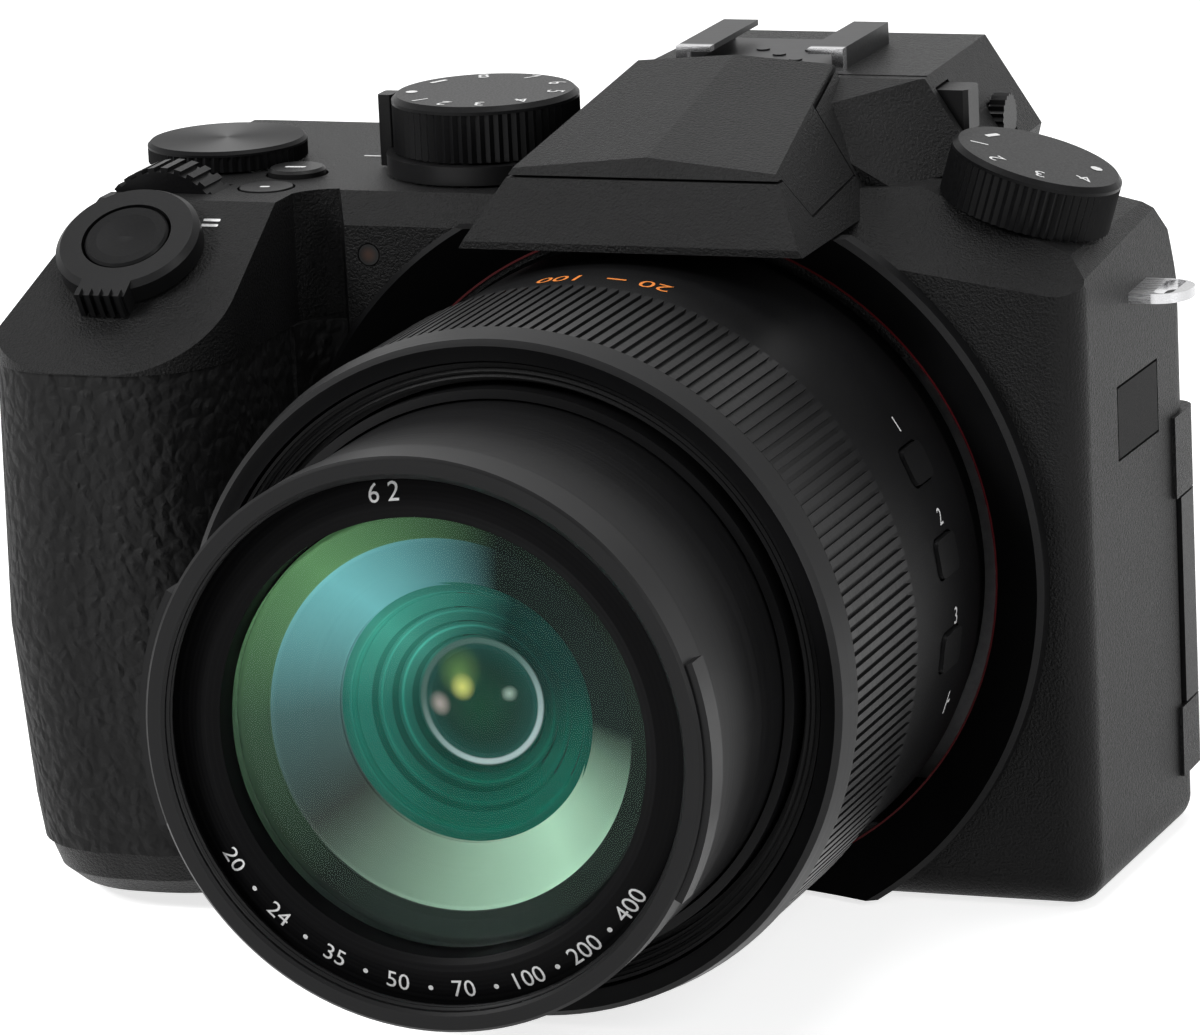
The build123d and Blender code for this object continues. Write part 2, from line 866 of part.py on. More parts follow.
def battery_latch():
    """Sliding latch in the battery door."""
    x = (door_x0 + door_x1) / 2
    y = door_y0 + door_thick * 4
    half_x = latch_wide / 2
    half_y = latch_long / 2
    slider = block(x - half_x, x + half_x, y - half_y, y + half_y, 0, latch_thick)
    groove = latch_thick / 3
    for step in (-1, 0, 1):
        y0 = y + step * groove * 3 - groove / 2
        slider -= block(x - half_x + groove, x + half_x - groove, y0, y0 + groove, 0, groove)
    return slider


def battery():
    """Rechargeable pack in the grip."""
    x = (door_x0 + door_x1) / 2
    y = (door_y0 + door_y1) / 2
    z0 = door_thick + seat
    half_x = battery_x / 2
    half_y = battery_y / 2
    pack = block(x - half_x, x + half_x, y - half_y, y + half_y, z0, z0 + battery_z)
    return fillet(pack.edges().filter_by(Axis.Z), battery_edge_r)


def tripod_bush():
    """Threaded metal bush in the base."""
    bush = disc_z(socket_bush_r, 0, socket_depth + wall)
    return bush - disc_z(socket_r, 0, socket_depth)


def case_screws():
    """Cross-head screws in the base, as one group."""
    screws = []
    for x, y in screw_places:
        head = disc_z(screw_r, 0, screw_h, x, y)
        slot = block(x - screw_r / 2, x + screw_r / 2, y - screw_r / 6, y + screw_r / 6, 0, screw_h / 2)
        cross = block(x - screw_r / 6, x + screw_r / 6, y - screw_r / 2, y + screw_r / 2, 0, screw_h / 2)
        screws.append(head - slot - cross)
    return Compound(children=screws)


def grip_rubber():
    """Moulded rubber skin round the grip and across to the lens."""
    foot = [grip_section(z, rubber_top_skin, side_in, nose_in) for z, nose_in, side_in in grip_foot_steps]
    waist = grip_section(grip_waist_z, rubber_skin, 0, grip_waist_in)
    head = grip_section(left_seam_z, rubber_top_skin, 0, 0)
    skin = loft([*foot, waist, head], ruled=True)
    skin &= block(-reach, grip_inner_x + recess_r, -reach, rubber_back_y, rubber_foot_z, left_seam_z)
    y1 = recess_y + rubber_skin
    skin += block(grip_inner_x, rubber_inner_x, recess_y - rubber_skin, y1, rubber_foot_z, left_seam_z)
    corner_x = grip_inner_x + recess_r
    corner_y = recess_y - recess_r
    web = block(grip_inner_x, corner_x, corner_y, recess_y, rubber_foot_z, left_seam_z)
    skin += web - disc_z(recess_r - rubber_skin, -reach, reach, corner_x, corner_y)
    skin -= ENVELOPE
    skin -= disc_y(collar_r + seat, -reach, reach, 0, lens_z)
    return skin.solids().sort_by(SortBy.VOLUME)[-1]


def thumb_rest():
    """Rubber pad for the thumb on the rear casing."""
    pad = block(thumb_x0, thumb_x1, back_y, back_y + thumb_out, thumb_z0, thumb_z1)
    edge = pad.edges().filter_by(Axis.Z).sort_by(Axis.Y)[-2:]
    pad = chamfer(edge, thumb_out * 0.8)
    return pad & block(left_x + left_back_r, reach, back_y, reach, thumb_z0, thumb_z1)


def lug_pocket(side):
    """Slot in a side wall for the strap lug."""
    x = (right_back_x if side > 0 else left_x) - side * lug_in
    half = lug_w / 2
    z = lug_z - lug_sheet / 2
    return block(min(x, side * reach), max(x, side * reach), lug_y - half, lug_y + half, z, z + lug_sheet)


def strap_lug(side):
    """Bent metal strap eyelet."""
    edge = right_back_x if side > 0 else left_x
    x0 = edge - side * lug_in
    x1 = edge + side * lug_out
    half = lug_w / 2
    z = lug_z - lug_sheet / 2
    tongue = block(min(x0, x1), max(x0, x1), lug_y - half, lug_y + half, z, z + lug_sheet)
    outer = tongue.edges().filter_by(Axis.Z).sort_by(Axis.X)
    outer = outer[-2:] if side > 0 else outer[:2]
    tongue = fillet(outer, lug_w * 0.45)
    slot_x = edge + side * (lug_out - lug_slot_h * 1.2)
    slot = Pos(slot_x, lug_y, lug_z) * Rot(0, 0, 90) * SlotOverall(lug_slot_w + lug_slot_h, lug_slot_h)
    return tongue - Pos(0, 0, -lug_sheet) * extrude(slot, lug_sheet * 2)


def lens_collar():
    """Dished collar that joins the lens to the body, cut off under the hump and above the base."""
    bore = collar_bore_r
    collar = turned(
        (
            (collar_r, collar_y + ring_edge),
            (collar_r - ring_edge, collar_y),
            (bore, accent_y),
            (bore, front_y + wall),
            (collar_spigot_r, front_y + wall),
            (collar_spigot_r, front_y),
            (collar_r, front_y),
        )
    )
    return collar & block(-reach, reach, -reach, reach, collar_base_z, collar_top_z)


def accent_ring():
    """Thin coloured ring at the root of the barrel."""
    outer = collar_bore_r
    inner = outer - accent_thick
    tail_y = front_y + wall
    return turned(((inner, accent_y), (outer, accent_y), (outer, tail_y), (inner, tail_y)))


def fn_button_shape(height):
    """Rounded button body, standing on the XY plane."""
    return extrude(RectangleRounded(fn_wide, fn_long, fn_corner), height)


def fixed_barrel():
    """Fixed outer barrel of the lens, with a flange at its root and pockets for its buttons."""
    inner = barrel_r - barrel_wall
    guide = middle_guide_r()
    root_y = front_y + wall * 2
    barrel = turned(
        (
            (barrel_r, ring_back_y + gap),
            (barrel_r, neck_front_y),
            (neck_r, neck_front_y + ring_edge),
            (neck_r, root_y - gap),
            (root_bore_r, root_y - gap),
            (root_bore_r, root_y - wall),
            (inner, root_y - wall),
            (inner, middle_barrel_back_y + wall * 4),
            (guide, middle_barrel_back_y + wall * 4),
            (guide, ring_front_y + bezel_depth + gap * 2),
            (inner, ring_front_y + bezel_depth + gap * 2),
            (inner, ring_back_y + gap),
        )
    )
    for angle in fn_angles:
        room = RectangleRounded(fn_wide + gap * 2, fn_long + gap * 2, fn_corner + gap)
        depth = fn_sink + fn_travel + seat
        barrel -= on_barrel(Pos(0, 0, -depth) * extrude(room, depth + collar_depth), angle)
    return barrel


def middle_guide_r():
    """Bore of the fixed barrel, in which the middle barrel slides."""
    return front_barrel_r + middle_barrel_wall + gap * 2


def fn_button(angle):
    """One button on the side of the fixed barrel."""
    return on_barrel(Pos(0, 0, -fn_sink) * fn_button_shape(fn_sink + fn_rise), angle)


def control_ring():
    """Ring that the left hand turns: fine ribs, a dark groove and a smooth bevelled nose."""
    bore = barrel_r - barrel_wall + gap
    nose = turned(
        (
            (ring_r, ring_split_y),
            (nose_r, ring_front_y + ring_edge),
            (nose_r - ring_edge, ring_front_y),
            (bore, ring_front_y + ring_edge),
            (bore, ring_split_y),
        )
    )
    groove = turned(
        (
            (ring_r - rib_depth * 2, ring_split_y),
            (ring_r - rib_depth * 2, ring_split_y + ring_groove),
            (bore, ring_split_y + ring_groove),
            (bore, ring_split_y),
        )
    )
    ribs_y = ring_split_y + ring_groove
    ribs = toothed_ring_y(ring_r - rib_drop, rib_depth, rib_count, ribs_y, ring_back_y, bore)
    return nose + groove + ribs


def mouth_bezel():
    """Stepped light baffle between the control ring and the moving barrel."""
    y0 = ring_front_y + ring_edge * 2
    outer = barrel_r - barrel_wall
    inner = mouth_r
    step = (outer - inner) / bezel_steps
    points = [(outer, y0)]
    for index in range(bezel_steps):
        r = outer - (index + 1) * step
        y = y0 + index * step / 2
        points.append((r + step / 2, y))
        points.append((r + step / 2, y + step))
        points.append((r, y + step))
        points.append((r, y + step / 2 + step / 4))
    back = ring_front_y + bezel_depth + gap * 2
    points.append((inner, back))
    points.append((outer, back))
    return turned(points)


def middle_barrel():
    """Intermediate telescoping barrel."""
    inner = front_barrel_r + gap
    outer = inner + middle_barrel_wall
    return turned(
        (
            (outer, middle_barrel_front_y),
            (outer, middle_barrel_back_y),
            (inner, middle_barrel_back_y),
            (inner, middle_barrel_front_y),
        )
    )


def front_barrel():
    """Front telescoping barrel, up to the rim."""
    inner = front_barrel_r - front_barrel_wall
    rim_back = rim_front_y + rim_depth
    return turned(
        (
            (front_barrel_r, rim_back),
            (front_barrel_r, front_barrel_back_y),
            (inner, front_barrel_back_y),
            (inner, rim_back),
        )
    )


def tab_wedge(radius, centre):
    """Wedge of a disc about the lens axis, one bayonet tab wide."""
    edge = CenterArc((0, 0), radius, centre - tab_arc / 2, tab_arc)
    return make_face([Line((0, 0), edge @ 0), edge, Line(edge @ 1, (0, 0))])


def rim_ring():
    """Front rim with the filter thread and two bayonet tabs."""
    edge = ring_edge / 2
    inner = rim_thread_r
    band = front_barrel_r - front_barrel_wall
    profile = (
        (rim_r, rim_front_y + rim_depth),
        (rim_r, rim_front_y + edge),
        (rim_r - edge, rim_front_y),
        (inner + edge, rim_front_y),
        (inner, rim_front_y + edge),
        (inner, rim_front_y + thread_depth),
        (band, rim_front_y + thread_depth),
        (band, rim_front_y + rim_depth),
    )
    rim = turned(profile)
    y0 = rim_front_y + ring_edge
    y1 = rim_front_y + rim_depth - ring_edge * 2
    for centre in tab_angles:
        tab = extrude(tab_wedge(rim_r + tab_out, centre), y1 - y0)
        tab = Pos(0, y1, lens_z) * Rot(90, 0, 0) * tab
        tab -= disc_y(rim_r, -reach, reach, 0, lens_z)
        rim += tab
    return rim


def name_ring():
    """Sloping ring round the front element, running back into a conical cell for the inner element."""
    front = rim_front_y + thread_depth + name_ring_drop
    back = rim_front_y + rim_depth + wall
    outer = front_barrel_r - front_barrel_wall
    lip = name_lip_r
    shell = lip + front_barrel_wall
    cell_front_y = element_front_y + element_thick + gap
    cell_back_y = inner_element_y + inner_element_thick
    mid_y = name_lip_y + cone_mid_depth
    return turned(
        (
            (outer, front),
            (lip + ring_edge * 2, name_lip_y),
            (lip + ring_edge, name_lip_y + gap),
            (lip, name_lip_y + ring_edge),
            (lip, cell_front_y),
            (lip - ring_edge, cell_front_y),
            (cone_mid_r + ring_edge / 2, mid_y - gap),
            (cone_mid_r, mid_y),
            (inner_element_r, inner_element_y),
            (inner_element_r, cell_back_y),
            (shell, cell_back_y),
            (shell, back),
            (outer, back),
        )
    )


def front_element():
    """Large front lens element, domed outwards and hollow behind."""
    ball = Pos(0, element_front_y + element_sphere_r, lens_z) * Sphere(element_sphere_r)
    hollow_y = element_front_y + element_hollow_start + element_hollow_r
    hollow = Pos(0, hollow_y, lens_z) * Sphere(element_hollow_r)
    body = disc_y(element_r, -reach, element_front_y + element_thick, 0, lens_z)
    return (body & ball) - hollow


def inner_element():
    """Second group seen through the front element: stepped rings down to a small domed lens."""
    back = inner_element_y + inner_element_thick
    rise = (inner_element_r - inner_eye_r) / inner_steps
    run = inner_eye_depth / inner_steps
    points = [(0, back), (inner_element_r, back), (inner_element_r, inner_element_y)]
    for step in range(inner_steps):
        r = inner_element_r - step * rise
        y = inner_element_y + step * run
        points += [(r - rise / 2, y + run / 4), (r - rise * 0.7, y + run)]
    points += [(inner_eye_r, inner_element_y + inner_eye_depth), (0, inner_element_y + inner_eye_depth)]
    eye_y = inner_element_y + inner_eye_depth - inner_eye_bulge
    eye = disc_y(inner_eye_r - gap, eye_y, back, 0, lens_z)
    eye &= Pos(0, eye_y + inner_eye_r * 2, lens_z) * Sphere(inner_eye_r * 2)
    return turned(points) + eye


def rear_group():
    """Rear lens group in its cell, carried by the chassis."""
    cell = disc_y(rear_group_r, rear_group_y, rear_group_y + rear_group_depth, 0, lens_z)
    bore = rear_group_bore
    cell -= disc_y(bore, rear_group_y, rear_group_y + rear_group_depth / 3, 0, lens_z)
    cell -= disc_y(bore, rear_group_y + rear_group_depth * 0.8, reach, 0, lens_z)
    return cell


def inner_chassis():
    """Pressed metal frame that carries lens, sensor and board."""
    x0 = front_panel_left_x - wall
    x1 = right_front_x - wall * 2
    z0 = base_seam_z + wall
    z1 = right_seam_z + wall
    y1 = chassis_y + chassis_thick
    plate = block(x0, x1, chassis_y, y1, z0, z1)
    holder = sensor_holder / 2
    plate -= block(-holder, holder, -reach, reach, lens_z - holder, lens_z + holder)
    for x in (x0 + wall * 2, x1 - wall * 2):
        for z in (z0 + wall * 2, z1 - wall * 2):
            plate += disc_y(wall, y1, board_y, x, z)
    flange_y = chassis_y - chassis_thick
    tube = disc_y(rear_group_r + wall, rear_group_y, chassis_y, 0, lens_z)
    flange = disc_y(root_flange_r, flange_y, chassis_y, 0, lens_z)
    skirt = disc_y(root_flange_r, front_y + wall * 2 - gap, chassis_y, 0, lens_z)
    skirt -= disc_y(root_bore_r, -reach, reach, 0, lens_z)
    return plate + (tube + flange - disc_y(rear_group_r, -reach, reach, 0, lens_z)) + skirt


def image_sensor():
    """Sensor package on its mounting plate."""
    half = sensor_holder / 2
    y1 = chassis_y + chassis_thick
    y0 = chassis_y
    plate = block(-half, half, y0, y1, lens_z - half, lens_z + half)
    chip = block(
        -sensor_w / 2, sensor_w / 2, y0 - sensor_thick, y0, lens_z - sensor_h / 2, lens_z + sensor_h / 2
    )
    return plate + chip


def main_board():
    """Main circuit board with its processor, behind the chassis."""
    x0 = front_panel_left_x
    x1 = right_front_x - wall * 3
    z0 = base_seam_z + wall * 2
    z1 = right_seam_z
    board = block(x0, x1, board_y, board_y + board_thick, z0, z1)
    chip = sensor_h / 2
    x = wall * 3
    y0 = board_y + board_thick
    board += block(x - chip, x + chip, y0, y0 + board_thick, z0 + chip, z0 + chip * 3)
    return board


def hot_shoe():
    """Sheet metal accessory shoe with two folded rails and its contacts."""
    half = shoe_wide / 2
    y1 = shoe_front_y + shoe_long
    z0 = hood_top_z
    floor_z = z0 + shoe_sheet / 2
    shoe = block(shoe_x - half, shoe_x + half, shoe_front_y, y1, z0, shoe_top_z)
    slot = shoe_slot / 2
    mouth = shoe_mouth / 2
    shoe -= block(shoe_x - slot, shoe_x + slot, -reach, reach, floor_z, shoe_top_z - shoe_sheet)
    shoe -= block(shoe_x - mouth, shoe_x + mouth, -reach, reach, floor_z, reach)
    y = shoe_contact_y
    pitch = shoe_mouth / 4
    for x, dy in ((0, 0), (-pitch, pitch), (pitch, pitch), (pitch, -pitch)):
        shoe += disc_z(shoe_contact_r, floor_z, floor_z + shoe_sheet / 4, shoe_x + x, y + dy)
    return shoe


def flash_head():
    """Pop-up flash: the roof of the hump with the lamp block under it."""
    head = (HUMP & flash_profile(0)) + flash_belly(0)
    return head - flash_window() - dial_scoop()


def flash_window():
    """Clear front window of the flash lamp."""
    half = flash_window_w / 2
    points = [(flash_face_y(z), z) for z in (flash_window_z0, flash_window_z1)]
    points += [(y + flash_window_thick, z) for y, z in reversed(points)]
    face = Plane.YZ * make_face(Polyline(*points, close=True))
    return Pos(hump_x - half, 0, 0) * extrude(face, half * 2)


def release_place():
    """Middle of the flash release on the side of the hood."""
    z = (hood_top_z + deck_z) / 2 + wall / 2
    return (hood_side_x(z), hood_flare_y + wall * 2, z)


def release_room():
    """Pocket for the flash release."""
    x, y, z = release_place()
    half = release_size / 2 + gap
    return block(x - release_sink - release_travel - seat, reach, y - half, y + half, z - half, z + half)


def flash_release():
    """Push button that lets the flash head spring up."""
    x, y, z = release_place()
    half = release_size / 2
    button = block(x - release_sink, x + release_rise, y - half, y + half, z - half, z + half)
    return chamfer(button.edges().filter_by(Axis.Z).sort_by(Axis.X)[-2:], wall / 4)


def eyepiece_seat():
    """Rectangular pocket for the eyepiece in the back of the hood."""
    width = eyepiece_w + seat / 5
    height = eyepiece_h + seat / 5
    plane = Plane.XZ.offset(-hood_back_y - wall) * Pos(hood_x, eyecup_z)
    return extrude(plane * RectangleRounded(width, height, eyepiece_r), eyepiece_sink + wall)


def eyepiece_lens():
    """Viewfinder eyepiece."""
    y0 = hood_back_y - eyepiece_sink
    plane = Plane.XZ.offset(-y0) * Pos(hood_x, eyecup_z)
    return extrude(plane * RectangleRounded(eyepiece_w, eyepiece_h, eyepiece_r), -eyepiece_thick)


def eyecup():
    """Soft cup round the eyepiece."""
    y0 = hood_back_y
    plane = Plane.XZ.offset(-y0) * Pos(hood_x, eyecup_z)
    foot = plane * RectangleRounded(eyecup_w - wall, eyecup_h - wall, eyecup_r - wall / 2)
    lip_plane = Plane.XZ.offset(-y0 - eyecup_depth) * Pos(hood_x, eyecup_z)
    lip = lip_plane * RectangleRounded(eyecup_w, eyecup_h, eyecup_r)
    cup = loft([foot, lip], ruled=True)
    near = plane * RectangleRounded(eyepiece_w + wall, eyepiece_h + wall, eyepiece_r + wall / 2)
    far = lip_plane * RectangleRounded(eyecup_w - wall * 2, eyecup_h - wall * 2, eyecup_r - wall)
    return cup - loft([near, far], ruled=True)


def diopter_hole():
    """Pocket for the dioptre wheel in the side of the hood."""
    x1 = hood_side_x(diopter_z) + diopter_proud
    return disc_x(diopter_r + gap, x1 - diopter_thick - gap, reach, diopter_y, diopter_z)


def diopter_dial():
    """Small wheel that focuses the viewfinder."""
    x = hood_side_x(diopter_z) + diopter_proud - diopter_thick
    face = make_face(Polyline(*knurled_outline(diopter_r, knurl_depth, diopter_knurls), close=True))
    return Pos(x, diopter_y, diopter_z) * Rot(0, 90, 0) * extrude(face, diopter_thick)


def top_dial():
    """Rear control dial on the grip side of the deck."""
    dial = knurled_dial(top_dial_r, top_dial_h - gap, top_dial_knurls, ring_edge)
    dial = Pos(0, 0, gap) * dial + disc_z(dial_shaft_r, -dial_shaft_long, gap)
    return Pos(top_dial_x, top_dial_y, deck_z) * dial


def power_lever():
    """Ring and tab of the power switch under the mode dial."""
    ring = disc_z(lever_r, gap, gap + lever_h) - disc_z(dial_shaft_r + pin_clearance, -reach, reach)
    half = lever_tab_w / 2
    tab = block(-lever_r - lever_tab_out, -mode_dial_r - gap, -half, half, gap, gap + lever_h + lever_tab_h)
    tab = fillet(tab.edges().filter_by(Axis.Z), lever_tab_out / 3)
    return Pos(mode_dial_x, mode_dial_y, deck_z) * (ring + tab)


def mode_dial():
    """Knurled mode dial with its shaft through the power lever."""
    z0 = lever_h + gap * 2
    dial = Pos(0, 0, z0) * knurled_dial(mode_dial_r, mode_dial_h, mode_dial_knurls, mode_dial_crown)
    dial += disc_z(dial_shaft_r, -dial_shaft_long, z0)
    return Pos(mode_dial_x, mode_dial_y, deck_z) * dial


def drive_dial():
    """Drive dial on the sloping shoulder."""
    dial = Pos(0, 0, gap) * knurled_dial(drive_dial_r, drive_dial_h, drive_dial_knurls, drive_dial_crown)
    dial += disc_z(dial_shaft_r, -dial_shaft_long, gap)
    return on_shoulder(dial)


def front_dial_slot():
    """Slot for the front dial, sunk into the deck."""
    z = deck_z + front_dial_rise - front_dial_r
    half = front_dial_w / 2 + gap
    return disc_y(front_dial_r + gap, front_dial_y - half, front_dial_y + half, front_dial_x, z)


def front_dial():
    """Ribbed front dial whose axis runs front to back."""
    z = deck_z + front_dial_rise - front_dial_r
    face = make_face(Polyline(*toothed_outline(front_dial_r, front_dial_rib, front_dial_ribs), close=True))
    wheel = extrude(face, front_dial_w)
    return Pos(front_dial_x, front_dial_y + front_dial_w / 2, z) * Rot(90, 0, 0) * wheel


def zoom_lever():
    """Zoom ring round the shutter button, with a ribbed finger tab in front."""
    ring = disc_z(zoom_ring_r, gap, gap + zoom_ring_h)
    rim = ring.edges().filter_by(GeomType.CIRCLE).sort_by(Axis.Z)[-1]
    ring = chamfer(rim, ring_edge)
    half = zoom_tab_w / 2
    reach_y = zoom_ring_r + zoom_tab_out
    tab = block(-half, half, -reach_y, -zoom_ring_bore - gap, gap, gap + zoom_ring_h)
    ring += tab
    rib = zoom_tab_w / (2 * zoom_tab_ribs)
    for index in range(zoom_tab_ribs):
        x = -half + rib / 2 + index * rib * 2
        ring += block(x, x + rib, -reach_y - rib, -reach_y + rib, gap, gap + zoom_ring_h + rib)
    ring -= disc_z(zoom_ring_bore, -reach, reach)
    return on_slope(ring)


def shutter_button():
    """Dished shutter release."""
    button = disc_z(shutter_r, -shutter_sink, shutter_h)
    rim = button.edges().filter_by(GeomType.CIRCLE).sort_by(Axis.Z)[-1]
    button = chamfer(rim, shutter_dish)
    ball_r = shutter_r * shutter_r / (2 * shutter_dish)
    button -= Pos(0, 0, shutter_h - shutter_dish / 2 + ball_r) * Sphere(ball_r)
    return on_slope(button)


def round_button_z(x, y, radius, rise):
    """Round push button in the deck."""
    button = disc_z(radius, deck_z - button_sink, deck_z + rise, x, y)
    rim = button.edges().filter_by(GeomType.CIRCLE).sort_by(Axis.Z)[-1]
    return chamfer(rim, rise * button_edge_share)


def round_button_y(x, z, radius, rise):
    """Round push button in the rear casing."""
    button = disc_y(radius, back_y - button_sink, back_y + rise, x, z)
    rim = button.edges().filter_by(GeomType.CIRCLE).sort_by(Axis.Y)[-1]
    return chamfer(rim, rise * button_edge_share)


def af_lamp():
    """Focus assist lamp in the front panel."""
    return disc_y(lamp_r, front_y, front_y + lamp_thick, lamp_x, lamp_z)


def monitor_bracket():
    """Moving hinge bracket between the ears, with its two pins."""
    low = bracket_z0
    high = bracket_z1
    y0 = monitor_front_y + gap
    knuckle = disc_z(knuckle_r, low, high, monitor_pivot_x, monitor_pivot_y)
    x0 = monitor_pivot_x - knuckle_r - gap
    knuckle += block(x0, monitor_pivot_x + knuckle_r, y0, monitor_pivot_y, low, high)
    knuckle += disc_z(hinge_pin_r, low - hinge_pin_long, low, monitor_pivot_x, monitor_pivot_y)
    knuckle += disc_z(hinge_pin_r, high, high + hinge_pin_long, monitor_pivot_x, monitor_pivot_y)
    return knuckle


def monitor_panel():
    """Monitor housing, with a pocket for its glass."""
    x1 = monitor_pivot_x - knuckle_r - gap
    panel = block(monitor_left_x, x1, monitor_front_y, monitor_back_y, monitor_z0, monitor_z1)
    panel = fillet(panel.edges().filter_by(Axis.Y).sort_by(Axis.X)[:2], monitor_edge_r)
    panel -= monitor_glass()
    return panel


def monitor_glass():
    """Cover glass of the monitor, on the side that faces the body when closed."""
    x1 = monitor_pivot_x - knuckle_r - gap - glass_margin
    z0 = monitor_z0 + glass_margin
    z1 = monitor_z1 - glass_margin
    y1 = monitor_back_y
    return block(monitor_left_x + glass_margin, x1, y1 - glass_thick, y1, z0, z1)


def four_way_pad():
    """Ring-shaped direction pad."""
    pad = disc_y(pad_r, back_y - button_sink, back_y + pad_rise, pad_x, pad_z)
    rim = pad.edges().filter_by(GeomType.CIRCLE).sort_by(Axis.Y)[-1]
    pad = chamfer(rim, pad_rise / 2)
    return pad - disc_y(pad_bore + gap, -reach, reach, pad_x, pad_z)


def set_button():
    """Button in the middle of the direction pad."""
    return round_button_y(pad_x, pad_z, pad_bore, set_button_rise)


def focus_lever():
    """Focus mode lever round the focus lock button."""
    y0 = back_y + gap
    y1 = y0 + focus_lever_h
    ring = disc_y(focus_lever_r, y0, y1, focus_lever_x, focus_lever_z)
    half = focus_lever_tab / 2
    x1 = focus_lever_x + focus_lever_r + focus_lever_tab
    z0 = focus_lever_z - half
    ring += block(focus_lever_x, x1, y0, y1 + focus_lever_tab / 2, z0, z0 + focus_lever_tab)
    return ring - disc_y(focus_lever_bore + gap / 2, -reach, reach, focus_lever_x, focus_lever_z)


def side_wall_x(y):
    """X of the connector side wall at one depth."""
    share = (y - front_y) / (back_y - front_y)
    return right_front_x + (right_back_x - right_front_x) * share


def side_flap_room(y0, y1, z0, z1):
    """Recess for a flap in the connector side."""
    x = min(side_wall_x(y0), side_wall_x(y1)) - flap_thick
    return block(x, reach, y0, y1, z0, z1)


def jack_cover():
    """Flap over the microphone and remote sockets."""
    x = min(side_wall_x(jack_y0), side_wall_x(jack_y1)) - flap_thick
    flap = block(x + gap / 3, reach, jack_y0 + gap, jack_y1 - gap, jack_z0 + gap, jack_z1 - gap)
    flap &= ENVELOPE
    return flap


def card_room():
    """Recess for the card door in the grip side wall."""
    x, y = card_hinge()
    room = block(-reach, left_x + flap_thick, card_y0, y, card_z0, card_z1)
    room += disc_z(x - left_x + gap / 3, card_z0, card_z1, x, y)
    room += block(-reach, x, y, card_y1, card_z0, card_z1)
    return room + card_pin(pin_clearance)


def card_hinge():
    """Place of the card door's hinge pin in plan, half the door's thickness behind the wall."""
    half = (flap_thick - gap / 3) / 2
    return left_x + half, card_y1 - gap - half


def card_pin(grow):
    """Hinge pin that stands out above and below the card door."""
    x, y = card_hinge()
    out = flap_pin_out + grow
    return disc_z(flap_pin_r + grow, card_z0 + gap - out, card_z1 - gap + out, x, y)


def card_door():
    """Door over the memory card slot on the grip side."""
    x, y = card_hinge()
    z0 = card_z0 + gap
    z1 = card_z1 - gap
    flap = block(-reach, left_x + flap_thick - gap / 3, card_y0 + gap, y, z0, z1)
    flap += disc_z(x - left_x, z0, z1, x, y)
    return (flap & ENVELOPE) + card_pin(0)


PARTS = {
    "front_casing": front_casing,
    "top_cover": top_cover,
    "rear_casing": rear_casing,
    "bottom_cover": bottom_cover,
    "grip_rubber": grip_rubber,
    "thumb_rest": thumb_rest,
    "inner_chassis": inner_chassis,
    "main_board": main_board,
    "image_sensor": image_sensor,
    "rear_lens_group": rear_group,
    "battery": battery,
    "tripod_bush": tripod_bush,
    "case_screws": case_screws,
    "hot_shoe": hot_shoe,
    "eyecup": eyecup,
    "eyepiece_lens": eyepiece_lens,
    "focus_assist_lamp": af_lamp,
    "lens_collar": lens_collar,
    "accent_ring": accent_ring,
    "fixed_barrel": fixed_barrel,
    "mouth_bezel": mouth_bezel,
    "control_ring": control_ring,
    "zoom_barrel_middle": middle_barrel,
    "zoom_barrel_front": front_barrel,
    "rim_ring": rim_ring,
    "name_ring": name_ring,
    "front_element": front_element,
    "inner_element": inner_element,
    "zoom_lever": zoom_lever,
    "shutter_button": shutter_button,
    "front_dial": front_dial,
    "top_dial": top_dial,
    "mode_dial": mode_dial,
    "power_lever": power_lever,
    "drive_dial": drive_dial,
    "flash_head": flash_head,
    "flash_window": flash_window,
    "flash_release": flash_release,
    "diopter_dial": diopter_dial,
    "monitor_bracket": monitor_bracket,
    "monitor_panel": monitor_panel,
    "monitor_glass": monitor_glass,
    "battery_door": battery_door,
    "battery_latch": battery_latch,
    "jack_cover": jack_cover,
    "card_door": card_door,
    "four_way_pad": four_way_pad,
    "set_button": set_button,
    "focus_lever": focus_lever,
}


def build_all():
    """Every sub-part by its node name."""
    shapes = {name: make() for name, make in PARTS.items()}
    shapes["strap_lug_left"] = strap_lug(-1)
    shapes["strap_lug_right"] = strap_lug(1)
    for index, angle in enumerate(fn_angles):
        shapes[f"function_button_{index + 1}"] = fn_button(angle)
    for name, place, radius, rise in (
        ("record_button", (raised_button_x, raised_button_y), raised_button_r, raised_button_rise),
        ("exposure_button", (flush_button_x, flush_button_y), flush_button_r, flush_button_rise),
    ):
        shapes[name] = round_button_z(*place, radius, rise)
    for index, (x, z) in enumerate(rear_button_places):
        shapes[f"rear_button_{index + 1}"] = round_button_y(x, z, rear_button_r, rear_button_rise)
    shapes["focus_lock_button"] = round_button_y(focus_lever_x, focus_lever_z, af_button_r, af_button_rise)
    return shapes


os.makedirs("parts", exist_ok=True)
SHAPES = build_all()
for name, shape in SHAPES.items():
    export_step(shape, os.path.join("parts", name + ".step"))
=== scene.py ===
# %% [markdown]
# # Dressing a bridge camera
#
# The solids of this camera come from its CAD source, already in metres and in their real
# places. This lesson gives them their finishes and adds the thin things that CAD leaves out:
# the filter thread, the stepped rings and the painted reflections that colour the lens cell,
# white marks and numbers, and the soft eyecup.

from math import cos, pi, radians, sin

import bpy
import numpy as np
from mathutils import Matrix, Vector


